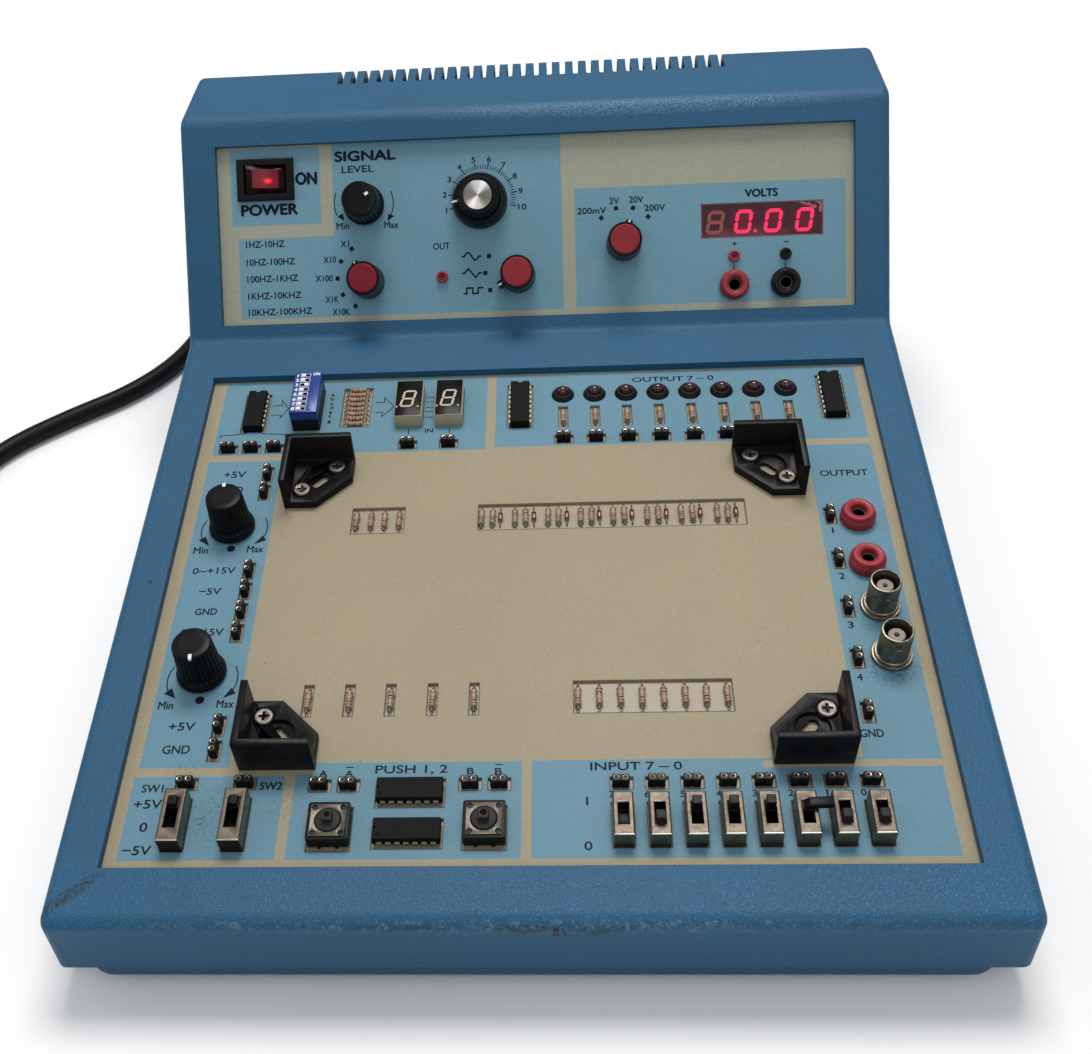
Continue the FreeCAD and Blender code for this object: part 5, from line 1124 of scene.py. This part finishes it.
# ------------------------------------------------------------------ strap that holds the coil
M_tie = plastic("tie_strap", (0.030, 0.030, 0.033), 0.75, 0.3, 260.0, 0.00006, 1500.0)
R0, R1, Z1, RC = 31.9, 57.3, 16.3, 3.2
loop = []
for cx, cz, a0 in ((R1 - RC, 0.12 + RC, -90), (R1 - RC, Z1 - RC, 0), (R0 + RC, Z1 - RC, 90), (R0 + RC, 0.12 + RC, 180)):
    for k in range(7):
        loop.append((cx, cz, math.cos(math.radians(a0 + 15 * k)), math.sin(math.radians(a0 + 15 * k))))
vs, fs = [], []
for cx, cz, x, z in loop:
    for rad in (RC, RC - 0.7):
        for w in (-4.0, 4.0):
            vs.append(((COIL[0] + w) * 0.001, (COIL[1] - cx - rad * x) * 0.001, (cz + rad * z) * 0.001))
for i in range(len(loop)):
    j = (i + 1) % len(loop)
    fs += [(4 * i, 4 * i + 1, 4 * j + 1, 4 * j), (4 * i + 2, 4 * j + 2, 4 * j + 3, 4 * i + 3),
           (4 * i, 4 * j, 4 * j + 2, 4 * i + 2), (4 * i + 1, 4 * i + 3, 4 * j + 3, 4 * j + 1)]
me = bpy.data.meshes.new("coil_strap")
me.from_pydata(vs, [], fs)
bm = bmesh.new()
bm.from_mesh(me)
bmesh.ops.recalc_face_normals(bm, faces=bm.faces)
bm.to_mesh(me)
bm.free()
me.materials.append(M_tie)
strap = bpy.data.objects.new("coil_strap", me)
bpy.context.scene.collection.objects.link(strap)
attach(strap, "root")


# ------------------------------------------------------------------ printed markings: thin skins on the panels
_font = bpy.data.curves.new("letter_shapes", "FONT")
_font.resolution_u = 4
_font_ob = bpy.data.objects.new("letter_shapes", _font)
bpy.context.scene.collection.objects.link(_font_ob)


def glyphs(body, bold=0.0, space=1.0):
    """Outline faces of a word in the built-in lettering: (vertices, faces), cap height 1, starting at x = 0."""
    _font.body = body
    _font.size = 1.0
    _font.offset = bold
    _font.space_character = space
    bpy.context.view_layer.update()
    dg = bpy.context.evaluated_depsgraph_get()
    me = _font_ob.evaluated_get(dg).to_mesh()
    vs = [(v.co.x, v.co.y) for v in me.vertices]
    fs = [list(p.vertices) for p in me.polygons]
    _font_ob.evaluated_get(dg).to_mesh_clear()
    return vs, fs


CAPH = None


BOLD = 0.06


def word(b, body, u0, u1, v, h, z, mat=None, bold=0.0, deg=0.0, lift=0.035, narrow=True):
    """A word from u0 to u1 (the centre line at v, cap height h), lying on the surface at z."""
    global CAPH
    if CAPH is None:
        a, _ = glyphs("H")
        CAPH = max(p[1] for p in a)
    vs, fs = glyphs(body)
    if not vs:
        return
    x0, x1 = min(p[0] for p in vs), max(p[0] for p in vs)
    sy = h / CAPH
    w = (x1 - x0) * sy
    sx = sy
    if u1 is not None and w > 1e-6:
        sx = sy * (u1 - u0) / w
        if narrow:
            sx = min(sx, sy * 1.35)
    mid = (u0 + u1) / 2.0 if u1 is not None else u0 + w / 2.0
    T = place(mid, v, 0.0, deg)
    c = (x0 + x1) / 2.0
    if bold < 0.0:
        return
    k = BOLD + bold
    shifts = ((0.0, 0.0), (k, 0.0), (-k, 0.0), (0.0, k * 0.8), (0.0, -k * 0.8)) if k > 0.0 else ((0.0, 0.0),)
    for i, (dx, dy) in enumerate(shifts):
        pts = [((x - c) * sx + dx, y * sy - h / 2.0 + dy, z + lift + i * 0.0015) for x, y in vs]
        b.put(pts, fs, mat or M_ink, T)


def poly(b, pts, z, mat=None, lift=0.035):
    b.put([(x, y, z + lift) for x, y in pts], [list(range(len(pts)))], mat or M_ink)


def stroke(b, pts, w, z, mat=None, lift=0.035, closed=False):
    """A line of width w through pts."""
    P = [Vector((x, y)) for x, y in pts]
    n = len(P)
    L, R = [], []
    for i, p in enumerate(P):
        a = P[i - 1] if (i > 0 or closed) else p
        c = P[(i + 1) % n] if (i < n - 1 or closed) else p
        d1 = (p - a).normalized() if (p - a).length > 1e-9 else None
        d2 = (c - p).normalized() if (c - p).length > 1e-9 else None
        d1 = d1 or d2
        d2 = d2 or d1
        t_ = (d1 + d2).normalized() if (d1 + d2).length > 1e-6 else d1
        nn = Vector((-t_.y, t_.x))
        k = w / 2.0 / max(0.35, nn.dot(Vector((-d1.y, d1.x))))
        L.append(p + nn * k)
        R.append(p - nn * k)
    vs = [(q.x, q.y, z + lift) for q in L] + [(q.x, q.y, z + lift) for q in R]
    m = n if closed else n - 1
    b.put(vs, [[i, (i + 1) % n, n + (i + 1) % n, n + i] for i in range(m)], mat or M_ink)


def dot(b, u, v, r, z, mat=None, lift=0.035, seg=24, turn=0.0):
    poly(b, [(u + r * math.cos(turn + 2 * math.pi * k / seg), v + r * math.sin(turn + 2 * math.pi * k / seg)) for k in range(seg)], z, mat, lift)


def curve(p0, p1, p2, p3, n=14):
    """Points of a smooth line through four points."""
    pts = []
    P = [Vector(p) for p in (p0, p1, p2, p3)]
    ext = [P[0] * 2 - P[1]] + P + [P[3] * 2 - P[2]]
    for s in range(3):
        a, b_, c, d = ext[s], ext[s + 1], ext[s + 2], ext[s + 3]
        for i in range(n // 3 + 1):
            t_ = i / (n // 3 + 1)
            pts.append(0.5 * ((2 * b_) + (c - a) * t_ + (2 * a - 5 * b_ + 4 * c - d) * t_ ** 2 + (3 * b_ - a - 3 * c + d) * t_ ** 3))
    pts.append(P[3])
    return [(p.x, p.y) for p in pts]


b = Build("deck_markings", FD)
Z = 0.0
# numbers and short words beside the sockets
for body, u0, u1, v, h, *bd in (
        ("+5V", -109.4, -101.6, 154.7, 3.0), ("GND", -109.6, -101.6, 147.3, 2.8), ("0~+15V", -113.0, -98.7, 110.2, 2.6), ("−5V", -109.3, -102.1, 101.3, 2.6),
        ("GND", -109.2, -102.1, 92.8, 2.6), ("0~−15V", -112.5, -98.7, 84.4, 2.6), ("+5V", -109.7, -101.7, 48.5, 2.8), ("GND", -110.1, -101.9, 40.3, 2.8),
        ("Min", -114.3, -109.3, 119.3, 2.8), ("Max", -96.0, -90.5, 119.4, 2.8), ("Min", -114.4, -109.8, 56.3, 2.8), ("Max", -96.3, -91.1, 56.6, 2.8),
        ("OUTPUT", 97.6, 113.5, 148.2, 2.6), ("1", 97.8, 98.6, 122.1, 2.4), ("2", 97.5, 99.2, 102.5, 2.4), ("3", 97.3, 99.0, 82.9, 2.4), ("4", 97.0, 98.7, 63.1, 2.4),
        ("GND", 94.9, 101.6, 43.2, 2.6), ("SW1", -113.7, -107.4, 27.0, 2.5), ("SW2", -78.9, -72.4, 27.5, 2.5), ("+5V", -115.1, -106.9, 21.8, 2.8),
        ("0", -111.9, -109.7, 14.3, 2.8), ("−5V", -115.4, -107.3, 6.9, 2.8), ("A", -61.9, -59.5, 31.5, 2.1), ("A", -54.3, -51.9, 31.4, 2.1),
        ("B", -18.8, -16.6, 31.9, 2.1), ("B", -10.7, -8.5, 31.7, 2.1), ("PUSH 1, 2", -49.5, -20.4, 32.7, 2.6), ("INPUT 7 – 0", 16.0, 44.0, 33.0, 2.6),
        ("1", 15.1, 16.3, 21.6, 2.6), ("0", 14.7, 16.8, 7.5, 2.6), ("OUTPUT 7 – 0", 36.0, 66.0, 198.4, 2.4), ("IN", -39.0, -36.2, 174.5, 2.0)):
    word(b, body, u0, u1, v, h, Z, bold=0.004)
stroke(b, [(-54.2, 33.55), (-52.0, 33.55)], 0.32, Z)
stroke(b, [(-10.6, 33.95), (-8.4, 33.95)], 0.32, Z)
for i, u in enumerate(DATA_U):
    word(b, str(7 - i), u - 3.6, u - 2.2, 23.7, 2.0, Z, bold=0.004)
for i in range(7):
    word(b, "gfedcba"[i], -75.2, -73.9, 181.0 + i * 2.35, 1.5, Z, bold=0.004)
# limit arcs and arrow heads of the two supply controls
for (cx, cy), L, R, tl, tr in (
        (KNOBS_D[0], [(-111.9, 133), (-113, 129.9), (-112.9, 126.4), (-112.3, 124.6)], [(-91.7, 133.5), (-90.6, 130.6), (-90.5, 127.1), (-91.3, 124.7)],
         [(-113.4, 123.9), (-111.2, 125.5), (-109.3, 121.3)], [(-94.2, 121.5), (-91.5, 125.4), (-90, 123.3)]),
        (KNOBS_D[1], [(-112, 70.9), (-113.2, 67.8), (-113.2, 64.2), (-112.5, 61.7)], [(-92.6, 70.9), (-91.4, 67.8), (-91.4, 64.2), (-92.1, 61.7)],
         [(-113.5, 60.6), (-111.4, 62.8), (-109.6, 58.8)], [(-94.9, 58.6), (-92.6, 62.6), (-91.0, 60.5)])):
    stroke(b, curve(*L), 0.38, Z)
    stroke(b, curve(*R), 0.38, Z)
    poly(b, tl, Z)
    poly(b, tr, Z)
dot(b, -101.6, 119.8, 1.4, Z, M_black)
dot(b, -101.9, 58.1, 1.4, Z, M_black)
# lines, arrows and ticks of the display block
A1 = [(-96.5, 190), (-92.9, 190.05), (-93.3, 192.8), (-90.5, 188.4), (-93.2, 182.9), (-92.9, 184.95), (-96.5, 184.9)]
A2 = [(-58.2, 190.2), (-54.9, 190.1), (-55.1, 192.8), (-51.1, 187.8), (-55.5, 182.4), (-55.2, 184.85), (-58.1, 184.9)]
stroke(b, A1, 0.32, Z)
stroke(b, A2, 0.32, Z)
stroke(b, [(-113.6, 173.4), (-113.9, 174.8), (-105.7, 175.2), (-102.1, 177.0), (-98.1, 175.1), (-90.2, 174.7), (-90.0, 173.5)], 0.32, Z)
stroke(b, [(-45, 176.0), (-45, 172.9)], 0.28, Z)
stroke(b, [(-30.2, 175.9), (-30.2, 172.9)], 0.28, Z)
for v in (192, 189.7, 186.8, 184.4, 181.5):
    stroke(b, [(-39.5, v), (-36.6, v)], 0.28, Z)


# dark edge of each cut-out
def frame_line(b, u, v, w, l, z=0.0, t_=0.22):
    x0, x1, y0, y1 = u - w / 2, u + w / 2, v - l / 2, v + l / 2
    o = t_
    vs = [(x0 - o, y0 - o), (x1 + o, y0 - o), (x1 + o, y1 + o), (x0 - o, y1 + o), (x0, y0), (x1, y0), (x1, y1), (x0, y1)]
    b.put([(x, y, z + 0.03) for x, y in vs], [[0, 1, 5, 4], [1, 2, 6, 5], [2, 3, 7, 6], [3, 0, 4, 7]], M_edge)


M_edge = plastic("cut_edge", (0.055, 0.045, 0.035), 0.6, 0.3, 400.0)
for u, v in SOCK_H:
    frame_line(b, u + 0.15, v - 0.2, 6.5, 4.0)
for u, v in SOCK_V:
    frame_line(b, u + 0.1, v - 0.5, 3.7, 7.2)
for u, v, n, vert in ICS:
    L = 2.54 * n + 2.2
    frame_line(b, u, v, 9.2, L) if vert else frame_line(b, u, v - 0.3, L, 9.4)
for u, v in SW_BIG:
    frame_line(b, u, v, 6.6, 17.0)
for u in DATA_U:
    frame_line(b, u, 14.0, 6.3, 14.3)
for u, v in TACT:
    frame_line(b, u, v - 0.6, 12.4, 14.0)
frame_line(b, -65.0, 187.8, 10.6, 20.6)
frame_line(b, -52.65, 131.1, 17.9, 11.6)
frame_line(b, 26.2, 131.5, 89.4, 11.5)
frame_line(b, 36.2, 57.4, 47.4, 11.6)
for u, v in ROW_D:
    frame_line(b, u, v, 2.9, 11.6)
for u in LED_U:
    frame_line(b, u, 179.8, 3.2, 10.4)
b.done("root")

b = Build("console_markings", FC)
Z = ZC
for body, u0, u1, v, h, *bd in (
        ("SIGNAL", -74.7, -51.0, 68.6, 3.5, 0.2), ("LEVEL", -72.8, -58.8, 63.7, 2.5, 0.0), ("ON", -89.8, -81.9, 61.0, 4.3, 0.25), ("POWER", -111.4, -89.6, 49.7, 3.9, 0.22),
        ("X1", -73.4, -70.2, 35.7, 2.3, 0.0), ("X10", -80.3, -75.5, 29.9, 2.3, 0.0), ("X100", -83.6, -77.0, 22.9, 2.3, 0.0), ("X1K", -80.0, -75.0, 14.8, 2.3, 0.0),
        ("X10K", -77.4, -70.8, 9.9, 2.3, 0.0), ("1HZ-10HZ", -110.3, -95.3, 36.7, 2.4, 0.0), ("10HZ-100HZ", -110.3, -91.5, 29.9, 2.4, 0.0),
        ("100HZ-1KHZ", -110.3, -90.5, 23.5, 2.4, 0.0), ("1KHZ-10KHZ", -110.3, -89.5, 17.0, 2.4, 0.0), ("10KHZ-100KHZ", -110.3, -85.5, 10.8, 2.4, 0.0),
        ("OUT", -37.7, -31.4, 33.5, 2.4, 0.0), ("Min", -74.7, -69.9, 42.5, 2.5, 0.0), ("Max", -56.2, -50.8, 42.3, 2.5, 0.0),
        ("200mV", 17.6, 28.4, 44.6, 2.3, 0.0), ("2V", 29.7, 33.4, 48.0, 2.3, 0.0), ("20V", 37.2, 42.5, 48.2, 2.3, 0.0), ("200V", 42.9, 50.6, 44.9, 2.3, 0.0),
        ("VOLTS", 80.6, 92.6, 48.9, 2.7, 0.12), ("+", 75.5, 77.5, 30.3, 2.0, 0.0), ("\u2212", 94.8, 96.8, 30.4, 2.0, 0.0)):
    word(b, body, u0, u1, v, h, Z, bold=bd[0] if bd else 0.0)
for (u, v), (ku, kv) in ((p, (-63.3, 21.0)) for p in ((-69.2, 33.7), (-73.5, 29.1), (-75.1, 22.7), (-73.2, 16.4), (-68.5, 11.9))):
    dot(b, u, v, 1.15, Z, seg=4, turn=math.atan2(v - kv, u - ku) + math.pi / 4)
for (u, v), (ku, kv) in [((-16.4, 29.1), (-5.4, 29.1)), ((-18, 22.8), (-5.4, 22.8)), ((-16.3, 16.3), (-5.4, 16.3))] + [(p, (34.9, 31.8)) for p in ((26.6, 41.8), (32.2, 45.2), (38.6, 45.1), (44.2, 41.6))]:
    dot(b, u, v, 1.12, Z, seg=4, turn=math.atan2(v - kv, u - ku) + math.pi / 4)
# wave signs
stroke(b, [(-26.9, 29.2)] + [(-25.9 + 5.6 * i / 24.0, 29.2 + 1.45 * math.sin(2 * math.pi * i / 24.0)) for i in range(25)] + [(-19.3, 29.2)], 0.62, Z)
stroke(b, [(-26.9, 22.9), (-25.9, 22.9), (-24.5, 24.6), (-21.7, 21.2), (-20.3, 22.9), (-19.3, 22.9)], 0.62, Z)
stroke(b, [(-26.6, 15.2), (-25.3, 15.2), (-25.3, 17.3), (-23.0, 17.3), (-23.0, 15.2), (-20.9, 15.2), (-20.9, 17.3), (-18.9, 17.3)], 0.62, Z)
# dial figures and ticks
cx, cy = -18.2, 51.0
for i in range(10):
    ang = 196.8 - 23.55 * i
    a = math.radians(ang)
    stroke(b, [(cx + 10.9 * math.cos(a), cy + 10.9 * math.sin(a)), (cx + 13.2 * math.cos(a), cy + 13.2 * math.sin(a))], 0.42, Z)
    r = 14.6
    x, y = cx + r * math.cos(a), cy + r * math.sin(a)
    w = 1.5 if i < 9 else 3.3
    if i == 0:
        w = 0.8
    if i == 9:
        x += 0.9
    word(b, str(i + 1), x - w / 2, x + w / 2, y, 2.0, Z)
    if i < 9:
        for k in range(1, 5):
            a2 = math.radians(ang - 23.55 * k / 5.0)
            stroke(b, [(cx + 10.9 * math.cos(a2), cy + 10.9 * math.sin(a2)), (cx + 12.4 * math.cos(a2), cy + 12.4 * math.sin(a2))], 0.26, Z)
for pts in ([(-74.5, 55.2), (-75.3, 52.2), (-75.1, 48.9), (-74.4, 46.5)], [(-53.4, 55.1), (-52.5, 51.6), (-52.8, 48.2), (-53.6, 46)]):
    stroke(b, curve(*pts), 0.36, Z)
poly(b, [(-74.3, 46.2), (-72.1, 47.2), (-71.7, 44.3)], Z)
poly(b, [(-54.6, 46.4), (-52.3, 45.6), (-55.1, 43.6)], Z)
stroke(b, [(76.2, 23.4), (76.1, 20.6)], 0.3, Z)
stroke(b, [(95.4, 23.6), (95.3, 20.8)], 0.3, Z)
b.done("root")

# figures on the eight-way switch
b = Build("code_switch_marks", FD)
for i in range(8):
    y = 187.0 + (3.5 - i) * 2.54
    word(b, str(i + 1), -82.5 - 4.35, -82.5 - 3.15, y, 1.5, 9.2, M_white, 0.006, lift=0.03)
    stroke(b, [(-84.98, y - 0.86), (-81.62, y - 0.86), (-81.62, y + 0.86), (-84.98, y + 0.86)], 0.16, 9.2, M_white, 0.03, True)
word(b, "ON", -80.6, -78.2, 196.6, 1.5, 9.2, M_white, 0.006, lift=0.03)
b.done("root")
bpy.data.objects.remove(_font_ob)


# ------------------------------------------------------------------ floor and light
t = NT("floor_pale")
n1 = t.noise(6.0, 3.0)
c = t.mix(t.ramp(n1, [(0.3, 0.0), (0.7, 1.0)]), (0.86, 0.86, 0.86), (0.89, 0.89, 0.89))
M_floor = t.out(color=c, rough=t.math("ADD", t.math("MULTIPLY", n1, 0.1), 0.7))
fm = bpy.data.meshes.new("floor")
fm.from_pydata([(-3.0, -2.5, 0.0), (3.0, -2.5, 0.0), (3.0, 3.5, 0.0), (-3.0, 3.5, 0.0)], [], [[0, 1, 2, 3]])
fm.materials.append(M_floor)
floor = bpy.data.objects.new("floor", fm)
bpy.context.scene.collection.objects.link(floor)

world = bpy.data.worlds.new("studio")
bpy.context.scene.world = world
world.use_nodes = True
wt = world.node_tree
wc = wt.nodes.new("ShaderNodeTexCoord")
wx = wt.nodes.new("ShaderNodeSeparateXYZ")
wr = wt.nodes.new("ShaderNodeValToRGB")
wt.links.new(wc.outputs["Generated"], wx.inputs[0])
wt.links.new(wx.outputs[2], wr.inputs["Fac"])
wr.color_ramp.elements[0].position = 0.0
wr.color_ramp.elements[0].color = (0.46, 0.49, 0.54, 1.0)
wr.color_ramp.elements[1].position = 0.9
wr.color_ramp.elements[1].color = (0.86, 0.87, 0.88, 1.0)
wt.links.new(wr.outputs["Color"], wt.nodes["Background"].inputs["Color"])
wt.nodes["Background"].inputs["Strength"].default_value = 0.62


def area(name, loc, target, size, power, color=(1, 1, 1), size_y=None):
    ld = bpy.data.lights.new(name, "AREA")
    ld.shape = "RECTANGLE" if size_y else "SQUARE"
    ld.size = size
    if size_y:
        ld.size_y = size_y
    ld.energy = power
    ld.color = color
    o = bpy.data.objects.new(name, ld)
    o.location = loc
    d = (Vector(target) - Vector(loc)).normalized()
    o.rotation_euler = d.to_track_quat("-Z", "Y").to_euler()
    bpy.context.scene.collection.objects.link(o)
    return o


area("key_back", (0.06, 0.50, 1.45), (0.0, 0.08, 0.05), 0.75, 16.0, (1.0, 0.985, 0.965), 0.5)
area("fill_left", (-1.2, 0.1, 0.9), (0.0, 0.0, 0.05), 0.8, 2.0, (0.95, 0.97, 1.0))
area("front_soft", (0.3, -1.0, 1.2), (0.0, 0.0, 0.05), 0.9, 4.0, (0.95, 0.97, 1.0))

bpy.context.scene.view_settings.view_transform = "Standard"
bpy.context.view_layer.update()
